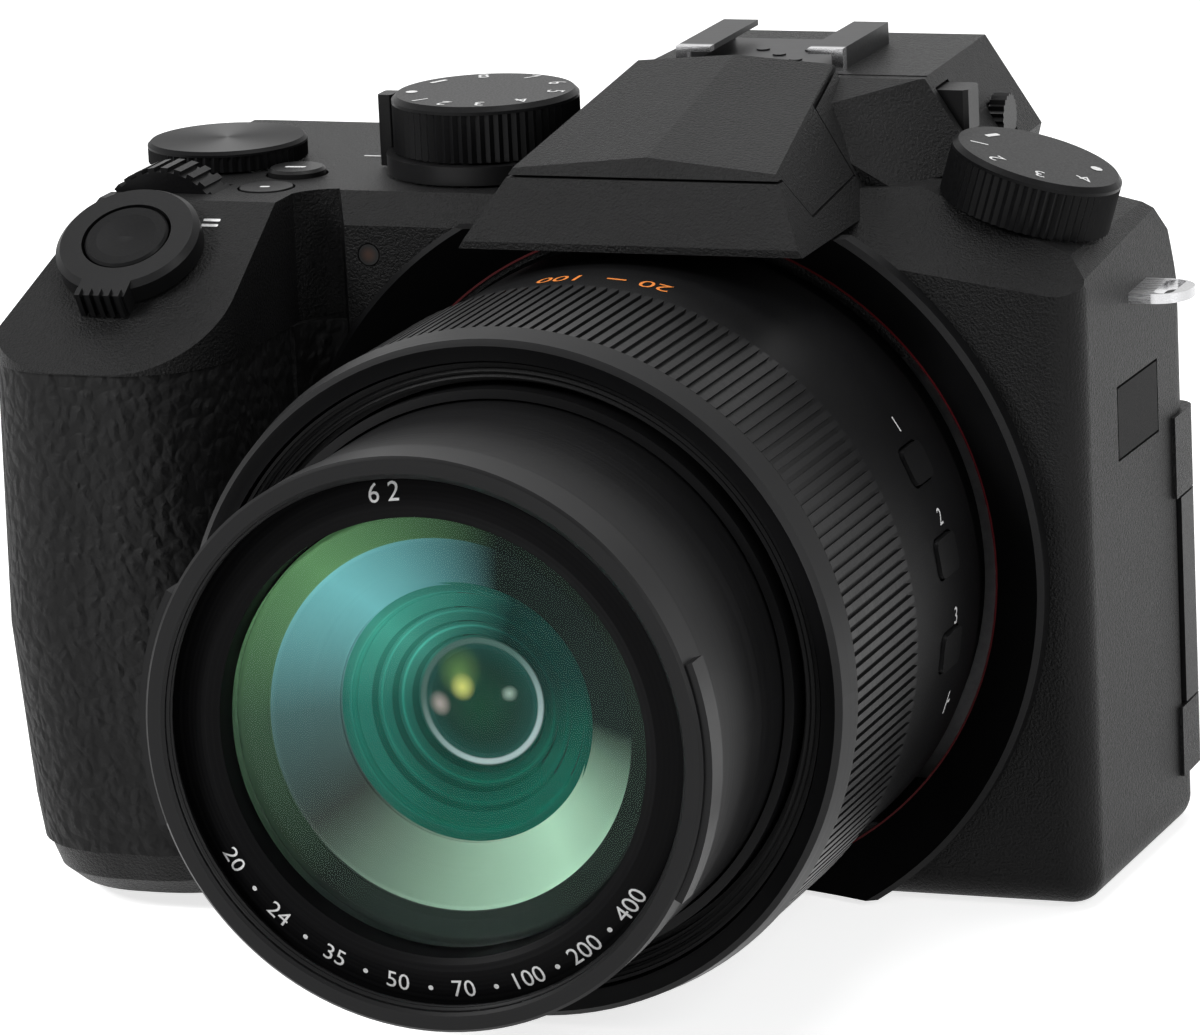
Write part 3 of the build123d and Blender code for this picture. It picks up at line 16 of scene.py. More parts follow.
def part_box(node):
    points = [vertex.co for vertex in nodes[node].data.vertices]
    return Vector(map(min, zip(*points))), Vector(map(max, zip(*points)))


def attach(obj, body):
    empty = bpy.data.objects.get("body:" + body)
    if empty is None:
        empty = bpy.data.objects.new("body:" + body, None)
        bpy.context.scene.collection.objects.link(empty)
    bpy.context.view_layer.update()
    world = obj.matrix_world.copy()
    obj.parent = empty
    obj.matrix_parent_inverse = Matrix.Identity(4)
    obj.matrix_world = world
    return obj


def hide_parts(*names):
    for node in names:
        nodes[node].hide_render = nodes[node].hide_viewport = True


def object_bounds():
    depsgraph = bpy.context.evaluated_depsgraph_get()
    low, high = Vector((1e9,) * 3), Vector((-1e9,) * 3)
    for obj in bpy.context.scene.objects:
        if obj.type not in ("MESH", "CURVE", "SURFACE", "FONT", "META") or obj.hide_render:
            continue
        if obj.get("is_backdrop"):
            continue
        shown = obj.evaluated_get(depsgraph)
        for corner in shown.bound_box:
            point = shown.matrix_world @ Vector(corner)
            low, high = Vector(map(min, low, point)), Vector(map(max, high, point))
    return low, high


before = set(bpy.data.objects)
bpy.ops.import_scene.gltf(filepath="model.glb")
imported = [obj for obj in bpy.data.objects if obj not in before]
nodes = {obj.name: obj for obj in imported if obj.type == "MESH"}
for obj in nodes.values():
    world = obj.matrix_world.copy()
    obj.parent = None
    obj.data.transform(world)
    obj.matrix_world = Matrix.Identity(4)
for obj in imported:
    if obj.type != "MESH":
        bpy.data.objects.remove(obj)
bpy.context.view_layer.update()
lens_z = 0.0409

# %% [markdown]
# ## Building materials from nodes
#
# Moulded plastic, rubber and anodised metal are all nearly black here, so what tells them
# apart is how their skin scatters light. Each finish therefore starts from the same small
# kit: object coordinates, noise, a colour ramp and a bump. Painting textures by hand would
# also work, but nodes stay sharp at any distance and need no unwrapping.

# %% A small kit of nodes
def start_material(name, color, roughness, metallic=0.0, **sockets):
    """New material with one Principled shader; constant values sit on its own sockets."""
    material = bpy.data.materials.new(name)
    material.use_nodes = True
    tree = material.node_tree
    shader = tree.nodes["Principled BSDF"]
    shader.inputs["Base Color"].default_value = (*color, 1.0)
    shader.inputs["Roughness"].default_value = roughness
    shader.inputs["Metallic"].default_value = metallic
    for label, value in sockets.items():
        shader.inputs[label.replace("_", " ")].default_value = value
    return material, tree, shader


def place(tree, scale=(1, 1, 1), shift=(0, 0, 0)):
    """Object coordinates stretched and moved by a Mapping node."""
    coordinates = tree.nodes.new("ShaderNodeTexCoord")
    mapping = tree.nodes.new("ShaderNodeMapping")
    mapping.inputs["Location"].default_value = shift
    mapping.inputs["Scale"].default_value = scale
    tree.links.new(coordinates.outputs["Object"], mapping.inputs["Vector"])
    return mapping.outputs["Vector"]


def speckle(tree, vector, scale, detail=2.0, roughness=0.5):
    """Noise value from 0 to 1."""
    noise = tree.nodes.new("ShaderNodeTexNoise")
    noise.inputs["Scale"].default_value = scale
    noise.inputs["Detail"].default_value = detail
    noise.inputs["Roughness"].default_value = roughness
    tree.links.new(vector, noise.inputs["Vector"])
    return noise.outputs["Fac"]


def spread(tree, value, low, high, start=0.3, stop=0.7):
    """Map a value linearly from start..stop to low..high."""
    node = tree.nodes.new("ShaderNodeMapRange")
    node.inputs["From Min"].default_value = start
    node.inputs["From Max"].default_value = stop
    node.inputs["To Min"].default_value = low
    node.inputs["To Max"].default_value = high
    tree.links.new(value, node.inputs["Value"])
    return node.outputs["Result"]


def tones(tree, value, *stops):
    """Colour ramp; each stop is (position, (r, g, b))."""
    ramp = tree.nodes.new("ShaderNodeValToRGB")
    while len(ramp.color_ramp.elements) < len(stops):
        ramp.color_ramp.elements.new(0.5)
    for element, (position, color) in zip(ramp.color_ramp.elements, stops):
        element.position = position
        element.color = (*color, 1.0)
    tree.links.new(value, ramp.inputs["Fac"])
    return ramp.outputs["Color"]


def relief(tree, shader, height, depth, below=None):
    """Bump of the given depth in metres, optionally on top of another bump."""
    bump = tree.nodes.new("ShaderNodeBump")
    bump.inputs["Strength"].default_value = 1.0
    bump.inputs["Distance"].default_value = depth
    tree.links.new(height, bump.inputs["Height"])
    if below is not None:
        tree.links.new(below, bump.inputs["Normal"])
    tree.links.new(bump.outputs["Normal"], shader.inputs["Normal"])
    return bump.outputs["Normal"]


def compute(tree, operation, first, second=None):
    """One Math node; each input is a socket or a number."""
    node = tree.nodes.new("ShaderNodeMath")
    node.operation = operation
    for index, value in enumerate((first, second)):
        if value is None:
            continue
        if isinstance(value, (int, float)):
            node.inputs[index].default_value = value
        else:
            tree.links.new(value, node.inputs[index])
    return node.outputs["Value"]


def from_lens_axis(tree):
    """Distance from the lens axis in metres: the length of (x, 0, z - lens height)."""
    vector = place(tree, scale=(1, 0, 1), shift=(0, 0, -lens_z))
    node = tree.nodes.new("ShaderNodeVectorMath")
    node.operation = "LENGTH"
    tree.links.new(vector, node.inputs[0])
    return node.outputs["Value"]


def round_lens_axis(tree):
    """Angle about the lens axis from 0 to 1: left, bottom, right, top and left again."""
    parts = tree.nodes.new("ShaderNodeSeparateXYZ")
    tree.links.new(place(tree, shift=(0, 0, -lens_z)), parts.inputs[0])
    angle = compute(tree, "ARCTAN2", parts.outputs["Z"], parts.outputs["X"])
    return spread(tree, angle, 0.0, 1.0, -pi, pi)


def mingle(tree, share, first, second):
    """Mix of two colours by a share; each is a socket or (r, g, b)."""
    node = tree.nodes.new("ShaderNodeMix")
    node.data_type = "RGBA"
    tree.links.new(share, node.inputs["Factor"])
    for socket, value in ((node.inputs[6], first), (node.inputs[7], second)):
        if isinstance(value, tuple):
            socket.default_value = (*value, 1.0)
        else:
            tree.links.new(value, socket)
    return node.outputs[2]


def glow(tree, centre, radius):
    """Soft round patch about a point: 1 in its middle, falling to 0 at the radius, for any depth."""
    shift = (-centre[0] / radius, 0, -centre[1] / radius)
    vector = place(tree, scale=(1 / radius, 0, 1 / radius), shift=shift)
    ball = tree.nodes.new("ShaderNodeTexGradient")
    ball.gradient_type = "SPHERICAL"
    tree.links.new(vector, ball.inputs["Vector"])
    return ball.outputs["Fac"]

# %% [markdown]
# ## Moulded plastic
#
# The body shells are glass-filled plastic from a mould that was spark-eroded, which leaves a
# fine pebbled grain. The grain is made from two noises of different size: a fine one for the
# pebbles and a broad one that makes their tone vary from place to place. The same recipe with
# less relief gives the smoother plastic of the buttons.

# %% Grained and satin plastic
def moulded_plastic(name, color, roughness, pebble, depth, gloss=0.09):
    """Black plastic with a pebbled grain of the given size and depth in metres."""
    material, tree, shader = start_material(name, color, roughness, Specular_IOR_Level=gloss)
    here = place(tree)
    grain = speckle(tree, here, 1.0 / pebble, 3.0, 0.62)
    cloud = speckle(tree, here, 60.0, 3.0)
    light = tuple(c * 1.3 + 0.001 for c in color)
    dark = tuple(c * 0.75 for c in color)
    mixed = compute(tree, "MULTIPLY", grain, cloud)
    tree.links.new(tones(tree, mixed, (0.12, dark), (0.4, light)), shader.inputs["Base Color"])
    rough = spread(tree, grain, roughness - 0.05, roughness + 0.07)
    tree.links.new(rough, shader.inputs["Roughness"])
    relief(tree, shader, grain, depth)
    return material


body_plastic = moulded_plastic("body_plastic", (0.0050, 0.0050, 0.0052), 0.40, 0.00034, 0.00032, 0.13)
smooth_plastic = moulded_plastic("smooth_plastic", (0.0048, 0.0048, 0.0051), 0.38, 0.00022, 0.00003)
button_plastic = moulded_plastic("button_plastic", (0.0062, 0.0062, 0.0065), 0.34, 0.00018, 0.000014, 0.14)
cell_plastic = moulded_plastic("cell_plastic", (0.04, 0.042, 0.048), 0.5, 0.0003, 0.00002)
print("plastics:", body_plastic.name, smooth_plastic.name, button_plastic.name, cell_plastic.name)

# %% [markdown]
# ## Leather-grained rubber
#
# The grip is a rubber skin with a grain copied from leather: rounded cells with creases
# between them. A Voronoi texture gives the cells: each is highest in its middle and falls off
# smoothly to the crease. The coordinates are first pushed about by noise so that no cell is a
# neat polygon.

# %% Grip rubber
def leather_rubber(name, color, cell, depth, roughness=0.62):
    """Rubber with cells of the given size: smooth pillows between bent creases."""
    material, tree, shader = start_material(name, color, roughness, Specular_IOR_Level=0.16)
    here = place(tree, scale=(1.0, 1.0, 0.86))
    warp = tree.nodes.new("ShaderNodeTexNoise")
    warp.inputs["Scale"].default_value = 0.55 / cell
    warp.inputs["Detail"].default_value = 2.0
    tree.links.new(here, warp.inputs["Vector"])
    shift = tree.nodes.new("ShaderNodeVectorMath")
    shift.operation = "SCALE"
    shift.inputs["Scale"].default_value = cell * 1.5
    tree.links.new(warp.outputs["Color"], shift.inputs[0])
    bent = tree.nodes.new("ShaderNodeVectorMath")
    bent.operation = "ADD"
    tree.links.new(here, bent.inputs[0])
    tree.links.new(shift.outputs["Vector"], bent.inputs[1])
    cells = tree.nodes.new("ShaderNodeTexVoronoi")
    cells.feature = "SMOOTH_F1"
    cells.inputs["Scale"].default_value = 1.0 / cell
    cells.inputs["Smoothness"].default_value = 0.35
    cells.inputs["Randomness"].default_value = 0.9
    tree.links.new(bent.outputs["Vector"], cells.inputs["Vector"])
    pillow = spread(tree, cells.outputs["Distance"], 1.0, 0.0, 0.05, 0.75)
    wrinkle = speckle(tree, bent.outputs["Vector"], 2.2 / cell, 2.0, 0.5)
    soft = compute(tree, "MULTIPLY", pillow, spread(tree, wrinkle, 0.75, 1.0))
    dust = speckle(tree, here, 5200.0, 2.0)
    dark = tuple(c * 0.6 for c in color)
    tree.links.new(tones(tree, soft, (0.05, dark), (0.6, color)), shader.inputs["Base Color"])
    tree.links.new(spread(tree, dust, roughness - 0.06, roughness + 0.08), shader.inputs["Roughness"])
    first = relief(tree, shader, soft, depth)
    relief(tree, shader, dust, 0.00001, first)
    return material


grip_rubber = leather_rubber("grip_rubber", (0.0056, 0.0056, 0.0058), 0.0016, 0.00045)
fine_rubber = moulded_plastic("fine_rubber", (0.0055, 0.0055, 0.0057), 0.62, 0.0002, 0.00003, 0.1)
print("rubbers:", grip_rubber.name, fine_rubber.name)

# %% [markdown]
# ## Turned and anodised metal
#
# Lens barrels are turned, so their faint lines run round the axis. Noise that is stretched
# hard along the lens axis and hardly at all round it gives just that. Flat rings that face
# forwards have concentric lines instead, and there the noise reads the distance from the axis.

# %% Barrel, ring and dial finishes
def turned_metal(name, color, roughness, lines=2600.0, depth=0.000006):
    """Satin black metal with faint lines round the lens axis."""
    material, tree, shader = start_material(name, color, roughness, Specular_IOR_Level=0.14)
    fine = speckle(tree, place(tree, scale=(12.0, lines, 12.0)), 1.0, 3.0, 0.6)
    broad = speckle(tree, place(tree), 90.0, 2.0)
    light = tuple(c * 1.3 + 0.001 for c in color)
    tree.links.new(tones(tree, fine, (0.25, color), (0.8, light)), shader.inputs["Base Color"])
    smear = spread(tree, broad, roughness - 0.03, roughness + 0.03)
    rough = compute(tree, "ADD", spread(tree, fine, -0.05, 0.05), smear)
    tree.links.new(rough, shader.inputs["Roughness"])
    relief(tree, shader, fine, depth)
    return material


def ringed_metal(name, color, roughness, lines=2400.0, depth=0.000006):
    """Satin black metal with concentric lines on its front face."""
    material, tree, shader = start_material(name, color, roughness, Specular_IOR_Level=0.14)
    wave = tree.nodes.new("ShaderNodeTexNoise")
    wave.noise_dimensions = "1D"
    wave.inputs["Scale"].default_value = lines
    wave.inputs["Detail"].default_value = 3.0
    tree.links.new(from_lens_axis(tree), wave.inputs["W"])
    light = tuple(c * 1.35 + 0.001 for c in color)
    tree.links.new(tones(tree, wave.outputs["Fac"], (0.3, color), (0.75, light)), shader.inputs["Base Color"])
    rough = spread(tree, wave.outputs["Fac"], roughness - 0.05, roughness + 0.05)
    tree.links.new(rough, shader.inputs["Roughness"])
    relief(tree, shader, wave.outputs["Fac"], depth)
    return material


def faced_metal(name, color, roughness, centre):
    """Dial top faced on a lathe: fine grooves round an upright axis stretch the highlight into a cone."""
    material, tree, shader = start_material(name, color, roughness, Anisotropic=0.75, Specular_IOR_Level=0.07)
    arm = place(tree, scale=(1, 1, 0), shift=(-centre[0], -centre[1], 0))
    cross = tree.nodes.new("ShaderNodeVectorMath")
    cross.operation = "CROSS_PRODUCT"
    cross.inputs[0].default_value = (0, 0, 1)
    tree.links.new(arm, cross.inputs[1])
    world = tree.nodes.new("ShaderNodeVectorTransform")
    world.vector_type = "VECTOR"
    world.convert_from = "OBJECT"
    world.convert_to = "WORLD"
    tree.links.new(cross.outputs["Vector"], world.inputs[0])
    tree.links.new(world.outputs[0], shader.inputs["Tangent"])
    far = tree.nodes.new("ShaderNodeVectorMath")
    far.operation = "LENGTH"
    tree.links.new(arm, far.inputs[0])
    groove = tree.nodes.new("ShaderNodeTexNoise")
    groove.noise_dimensions = "1D"
    groove.inputs["Scale"].default_value = 3000.0
    tree.links.new(far.outputs["Value"], groove.inputs["W"])
    light = tuple(c * 1.4 + 0.002 for c in color)
    shade = tones(tree, groove.outputs["Fac"], (0.3, color), (0.7, light))
    tree.links.new(shade, shader.inputs["Base Color"])
    return material


def shoe_metal(name, front_y):
    """Steel, nearly black along the rails and bright at their front ends."""
    material, tree, shader = start_material(name, (0.03, 0.03, 0.031), 0.34, 1.0)
    parts = tree.nodes.new("ShaderNodeSeparateXYZ")
    tree.links.new(place(tree), parts.inputs[0])
    # Mask: 1 over the first millimetre of the rails from the front, falling to 0 by 1.7 mm; it mixes the
    # nearly black rail colour with bright steel.
    front_end_share = spread(tree, parts.outputs["Y"], 1.0, 0.0, front_y + 0.0008, front_y + 0.0017)
    streak = speckle(tree, place(tree, scale=(300.0, 3000.0, 3000.0)), 1.0, 3.0, 0.6)
    front_end_color = tones(tree, streak, (0.3, (0.45, 0.45, 0.46)), (0.7, (0.85, 0.85, 0.86)))
    rail_color = tones(tree, streak, (0.3, (0.018, 0.018, 0.019)), (0.7, (0.038, 0.038, 0.040)))
    tree.links.new(mingle(tree, front_end_share, rail_color, front_end_color), shader.inputs["Base Color"])
    tree.links.new(spread(tree, front_end_share, 0.42, 0.2, 0.0, 1.0), shader.inputs["Roughness"])
    relief(tree, shader, streak, 0.000008)
    return material


def brushed_metal(name, color, roughness, scale=(300.0, 9000.0, 9000.0)):
    """Bare metal brushed along X."""
    material, tree, shader = start_material(name, color, roughness, 1.0)
    streak = speckle(tree, place(tree, scale=scale), 1.0, 3.0, 0.65)
    dark = tuple(c * 0.72 for c in color)
    tree.links.new(tones(tree, streak, (0.3, dark), (0.75, color)), shader.inputs["Base Color"])
    tree.links.new(spread(tree, streak, roughness - 0.06, roughness + 0.1), shader.inputs["Roughness"])
    relief(tree, shader, streak, 0.00001)
    return material


barrel_black = turned_metal("barrel_black", (0.0052, 0.0052, 0.0055), 0.38)
ring_black = turned_metal("ring_black", (0.0040, 0.0040, 0.0043), 0.36)
rim_black = ringed_metal("rim_black", (0.0048, 0.0048, 0.0051), 0.34)
dial_black = moulded_plastic("dial_black", (0.0034, 0.0034, 0.0037), 0.33, 0.00030, 0.00001, 0.09)
top_low, top_high = (np.array(corner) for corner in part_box("top_dial"))
dial_face = faced_metal("dial_face", (0.0032, 0.0032, 0.0035), 0.34, (top_low + top_high) / 2)
red_band = turned_metal("red_band", (0.075, 0.004, 0.006), 0.4)
bright_steel = brushed_metal("bright_steel", (0.62, 0.62, 0.63), 0.24)
shoe_steel = shoe_metal("shoe_steel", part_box("hot_shoe")[0][1])
cast_metal = brushed_metal("cast_metal", (0.42, 0.42, 0.43), 0.45, (900.0, 900.0, 900.0))
metals = (barrel_black, ring_black, rim_black, dial_face, bright_steel, shoe_steel, cast_metal, red_band)
print("metals:", [metal.name for metal in metals])

# %% [markdown]
# ## Coated glass and the cone behind it
#
# A lens this size is known by the colours inside it. Each glass surface carries a thin coating,
# and what it sends back is green, cyan or amber, in crescents that follow the rings of the cell.
# Modelling and tracing every coated surface is one way to get them. Here the front glass is
# clear, and the cone and the inner group carry them as painted reflections: a ramp of painted
# colour round the lens axis for each band, chosen by the distance from the axis. The painted
# reflections stay where they are when the view turns, which a real reflection doesn't.

# %% Glass finishes
def coated_glass(name, tint, index, color=(1.0, 1.0, 1.0), gloss=0.5):
    """Clear glass whose reflections have the colour of its coating."""
    material, tree, shader = start_material(
        name, color, 0.0, 0.0, IOR=index, Transmission_Weight=1.0, Specular_IOR_Level=gloss)
    shader.inputs["Specular Tint"].default_value = (*tint, 1.0)
    haze = speckle(tree, place(tree), 350.0, 2.0)
    tree.links.new(spread(tree, haze, 0.0, 0.015), shader.inputs["Roughness"])
    return material


front_glass = coated_glass("front_glass", (0.55, 1.0, 0.78), 1.15, gloss=0.1)
view_glass = coated_glass("view_glass", (0.7, 0.8, 1.0), 1.5, (0.5, 0.52, 0.55))
print("glass:", front_glass.name, view_glass.name)


# %% Painted reflections of the lens cell
def ring_and_cone(name, lip, middle):
    """Name ring outside the lip; inside it two bands of painted reflection: an outer band down to the middle
    radius and an inner band.
    """
    material, tree, shader = start_material(name, (0.006, 0.006, 0.0064), 0.36, Specular_IOR_Level=0.03)
    radius = from_lens_axis(tree)
    around = round_lens_axis(tree)
    # Painted reflections round the axis: crescents of painted light, green at the upper left in both bands
    # and mint at the lower right in the inner band; dark elsewhere.
    moss, leaf = (0.045, 0.095, 0.052), (0.13, 0.31, 0.13)
    dim, shade = (0.010, 0.013, 0.012), (0.006, 0.008, 0.008)
    outer = tones(
        tree, around, (0.0, moss), (0.14, dim), (0.5, dim), (0.7, shade), (0.86, leaf), (1.0, moss))
    haze, ash, mint = (0.07, 0.15, 0.15), (0.040, 0.046, 0.043), (0.36, 0.60, 0.43)
    night, cyan = (0.008, 0.011, 0.012), (0.19, 0.56, 0.58)
    inner = tones(
        tree, around, (0.0, haze), (0.1, ash), (0.36, mint), (0.5, night), (0.7, night), (0.86, cyan),
        (1.0, haze))
    cone = mingle(tree, compute(tree, "LESS_THAN", radius, middle), outer, inner)
    wave = tree.nodes.new("ShaderNodeTexNoise")
    wave.noise_dimensions = "1D"
    wave.inputs["Scale"].default_value = 2400.0
    wave.inputs["Detail"].default_value = 3.0
    tree.links.new(radius, wave.inputs["W"])
    ring = tones(tree, wave.outputs["Fac"], (0.3, (0.0036, 0.0036, 0.0039)), (0.75, (0.0058, 0.0058, 0.0061)))
    inside = compute(tree, "LESS_THAN", radius, lip)
    tree.links.new(mingle(tree, inside, ring, cone), shader.inputs["Base Color"])
    tree.links.new(spread(tree, wave.outputs["Fac"], 0.32, 0.42), shader.inputs["Roughness"])
    relief(tree, shader, wave.outputs["Fac"], 0.000006)
    return material


def inner_group_material(name, outer, eye):
    """Painted reflections: teal stepped rings with painted lines of light, a pale painted ring round a dark
    green eye, and four soft painted reflections in the eye.
    """
    material, tree, shader = start_material(
        name, (0.01, 0.12, 0.10), 0.10, 0.0, IOR=1.5, Specular_IOR_Level=0.03)
    radius = from_lens_axis(tree)
    share = compute(tree, "DIVIDE", radius, outer)
    around = round_lens_axis(tree)
    teal, aqua = (0.014, 0.17, 0.13), (0.06, 0.36, 0.28)
    deep, night = (0.003, 0.085, 0.058), (0.003, 0.028, 0.025)
    # Painted reflection round the axis: teal at the left, aqua at the upper left, dark at the right.
    painted_band_reflection = tones(
        tree, around, (0.0, teal), (0.2, deep), (0.4, deep), (0.55, night), (0.68, night), (0.88, aqua),
        (1.0, teal))
    # Painted lines of light on the stepped rings: circles lighter and darker than the painted reflection they
    # multiply.
    steps = (
        (0.48, 0.5), (0.60, 0.7), (0.615, 1.5), (0.63, 0.7), (0.74, 0.8), (0.75, 1.3), (0.765, 0.85),
        (0.90, 0.95), (0.925, 1.5), (0.95, 0.8))
    lines = tones(tree, share, *((at, (level, level, level)) for at, level in steps))
    rings = tree.nodes.new("ShaderNodeMix")
    rings.data_type = "RGBA"
    rings.blend_type = "MULTIPLY"
    rings.inputs["Factor"].default_value = 1.0
    tree.links.new(painted_band_reflection, rings.inputs[6])
    tree.links.new(lines, rings.inputs[7])
    pupil_with_painted_spots = tones(
        tree, share, (0.0, (0.004, 0.040, 0.020)), (0.30, (0.006, 0.030, 0.022)),
        (0.44, (0.010, 0.060, 0.050)))
    # Four soft painted reflections laid on the dark eye.
    for centre, size, color in (
        ((-0.0024, lens_z + 0.0036), 0.0030, (0.10, 0.20, 0.06)),
        ((-0.0019, lens_z + 0.0019), 0.0017, (0.60, 0.62, 0.16)),
        ((-0.0050, lens_z - 0.0004), 0.0016, (0.42, 0.36, 0.33)),
        ((0.0037, lens_z + 0.0013), 0.0010, (0.30, 0.40, 0.34)),
    ):
        pupil_with_painted_spots = mingle(tree, glow(tree, centre, size), pupil_with_painted_spots, color)
    inside = compute(tree, "LESS_THAN", radius, eye)
    color = mingle(tree, inside, rings.outputs[2], pupil_with_painted_spots)
    near_eye = spread(tree, radius, 0.0, 1.0, eye - 0.0010, eye + 0.0010)
    edge = tones(
        tree, near_eye, (0.30, (0, 0, 0)), (0.42, (1, 1, 1)), (0.62, (1, 1, 1)), (0.75, (0, 0, 0)))
    # Painted reflection on the pale ring round the eye: bright at the bottom and lower right, faint
    # elsewhere.
    pale, faint = (0.34, 0.44, 0.44), (0.07, 0.13, 0.115)
    painted_ring_reflection = tones(tree, around, (0.0, faint), (0.22, pale), (0.42, pale), (0.65, faint), (1.0, faint))
    tree.links.new(mingle(tree, edge, color, painted_ring_reflection), shader.inputs["Base Color"])
    cloud = speckle(tree, place(tree), 500.0, 2.0)
    tree.links.new(spread(tree, cloud, 0.06, 0.14), shader.inputs["Roughness"])
    return material


cell_lip_r, cell_middle_r = 0.0252, 0.0214
group_r, eye_r = 0.0150, 0.0071
ring_and_painted_cone = ring_and_cone("ring_and_cone", cell_lip_r, cell_middle_r)
inner_glass = inner_group_material("inner_glass", group_r, eye_r)
rear_glass = coated_glass("rear_glass", (0.35, 1.0, 0.85), 1.6)
print("lens cell:", ring_and_painted_cone.name, inner_glass.name, rear_glass.name)

# %% [markdown]
# ## Screen, flash, lamp and board
#
# The rest of the clear and glossy pieces are small. The monitor glass is black with a faint dot
# pattern, the flash window is milky with upright prisms, the focus lamp is a dark clear button,
# and the board shows only when the covers come off.

# %% Small glossy finishes
def screen_material():
    """Nearly black glossy glass over a display, with a faint dot pattern."""
    material, tree, shader = start_material("screen_glass", (0.004, 0.004, 0.0045), 0.05, 0.0, IOR=1.5)
    dots = speckle(tree, place(tree, scale=(1, 0.001, 1)), 9000.0, 0.0)
    color = tones(tree, dots, (0.4, (0.003, 0.003, 0.0035)), (0.6, (0.006, 0.006, 0.0066)))
    tree.links.new(color, shader.inputs["Base Color"])
    smear = speckle(tree, place(tree), 120.0, 3.0)
    tree.links.new(spread(tree, smear, 0.03, 0.09), shader.inputs["Roughness"])
    return material


def flash_lens_material():
    """Milky clear plastic with upright prisms."""
    material, tree, shader = start_material(
        "flash_lens", (0.72, 0.74, 0.72), 0.22, 0.0, IOR=1.5, Transmission_Weight=0.6)
    wave = tree.nodes.new("ShaderNodeTexWave")
    wave.inputs["Scale"].default_value = 330.0
    tree.links.new(place(tree), wave.inputs["Vector"])
    relief(tree, shader, wave.outputs["Fac"], 0.0003)
    return material


def lamp_material():
    """Dark clear button, a little warmer in the middle."""
    material, tree, shader = start_material("lamp_dark", (0.02, 0.012, 0.01), 0.25, Specular_IOR_Level=0.15)
    low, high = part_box("focus_assist_lamp")
    spot = glow(tree, ((low[0] + high[0]) / 2, (low[2] + high[2]) / 2), 0.0011)
    color = tones(tree, spot, (0.0, (0.006, 0.006, 0.006)), (0.8, (0.035, 0.016, 0.010)))
    tree.links.new(color, shader.inputs["Base Color"])
    return material


def board_material():
    """Green circuit board with copper-bright lands."""
    material, tree, shader = start_material("circuit_board", (0.01, 0.09, 0.03), 0.35)
    squares = tree.nodes.new("ShaderNodeTexVoronoi")
    squares.distance = "CHEBYCHEV"
    squares.inputs["Scale"].default_value = 260.0
    tree.links.new(place(tree), squares.inputs["Vector"])
    color = tones(
        tree, squares.outputs["Distance"], (0.28, (0.02, 0.02, 0.022)), (0.31, (0.01, 0.09, 0.03)),
        (0.72, (0.012, 0.11, 0.04)), (0.75, (0.45, 0.30, 0.12)))
    tree.links.new(color, shader.inputs["Base Color"])
    return material


screen_glass = screen_material()
flash_lens = flash_lens_material()
lamp_dark = lamp_material()
circuit_board = board_material()
print("small finishes:", screen_glass.name, flash_lens.name, lamp_dark.name, circuit_board.name)

# %% [markdown]
# ## Giving every solid its finish
#
# Each solid keeps its shape and only its material slots change. The table goes from finish to
# solids, as a maker's finish schedule does, so that neighbours of one moulding match.

# %% Finish schedule
finishes = {
    body_plastic: ["front_casing", "top_cover", "rear_casing", "bottom_cover", "battery_door",
                   "card_door", "flash_head", "monitor_panel"],
    smooth_plastic: ["fixed_barrel", "lens_collar", "mouth_bezel", "monitor_bracket", "thumb_rest"],
    button_plastic: ["zoom_lever", "power_lever", "battery_latch", "four_way_pad", "set_button",
                     "focus_lever", "focus_lock_button", "exposure_button", "record_button",
                     "function_button_1", "function_button_2", "function_button_3",
                     "rear_button_1", "rear_button_2", "rear_button_3", "flash_release", "diopter_dial"],
    grip_rubber: ["grip_rubber"],
    fine_rubber: ["jack_cover", "eyecup"],
    dial_black: ["front_dial", "mode_dial", "drive_dial", "shutter_button"],
    dial_face: ["top_dial"],
    ring_black: ["control_ring"],
    barrel_black: ["zoom_barrel_front", "zoom_barrel_middle"],
    rim_black: ["rim_ring"],
    ring_and_painted_cone: ["name_ring"],
    red_band: ["accent_ring"],
    shoe_steel: ["hot_shoe"],
    bright_steel: ["strap_lug_left", "strap_lug_right", "tripod_bush", "case_screws"],
    cast_metal: ["inner_chassis"],
    circuit_board: ["main_board"],
    cell_plastic: ["battery"],
    front_glass: ["front_element"],
    inner_glass: ["inner_element"],
    rear_glass: ["rear_lens_group"],
    view_glass: ["eyepiece_lens"],
    screen_glass: ["monitor_glass", "image_sensor"],
    flash_lens: ["flash_window"],
    lamp_dark: ["focus_assist_lamp"],
}
for finish, names in finishes.items():
    for name in names:
        solid = nodes[name]
        solid.data.materials.clear()
        solid.data.materials.append(finish)
covered = {name for names in finishes.values() for name in names}
assert covered == set(nodes), covered ^ set(nodes)
print(len(covered), "solids finished with", len(finishes), "materials")

# %% [markdown]
# ## Surfaces from formulas
#
# New pieces are grids of points. A lathe turns a profile round the lens axis: each point is
# (r cos a, y, r sin a) for a row of profile points and a row of angles. numpy works out the
# whole grid at once, and the mesh takes it as one array.

# %% Grid and lathe helpers
def grid_mesh(name, points, closed, material, body):
    """Mesh from a (rows, columns, 3) array of points, four-sided faces between neighbours."""
    rows, columns = points.shape[:2]
    index = np.arange(rows * columns).reshape(rows, columns)
    if closed:
        index = np.hstack([index, index[:, :1]])
    corners = np.stack([index[:-1, :-1], index[1:, :-1], index[1:, 1:], index[:-1, 1:]], axis=-1)
    mesh = bpy.data.meshes.new(name)
    mesh.from_pydata(points.reshape(-1, 3).tolist(), [], corners.reshape(-1, 4).tolist())
    mesh.materials.append(material)
    mesh.polygons.foreach_set("use_smooth", np.full(len(mesh.polygons), True))
    mesh.update()
    piece = bpy.data.objects.new(name, mesh)
    bpy.context.scene.collection.objects.link(piece)
    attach(piece, body)
    print(name, len(mesh.polygons), "faces")
    return piece


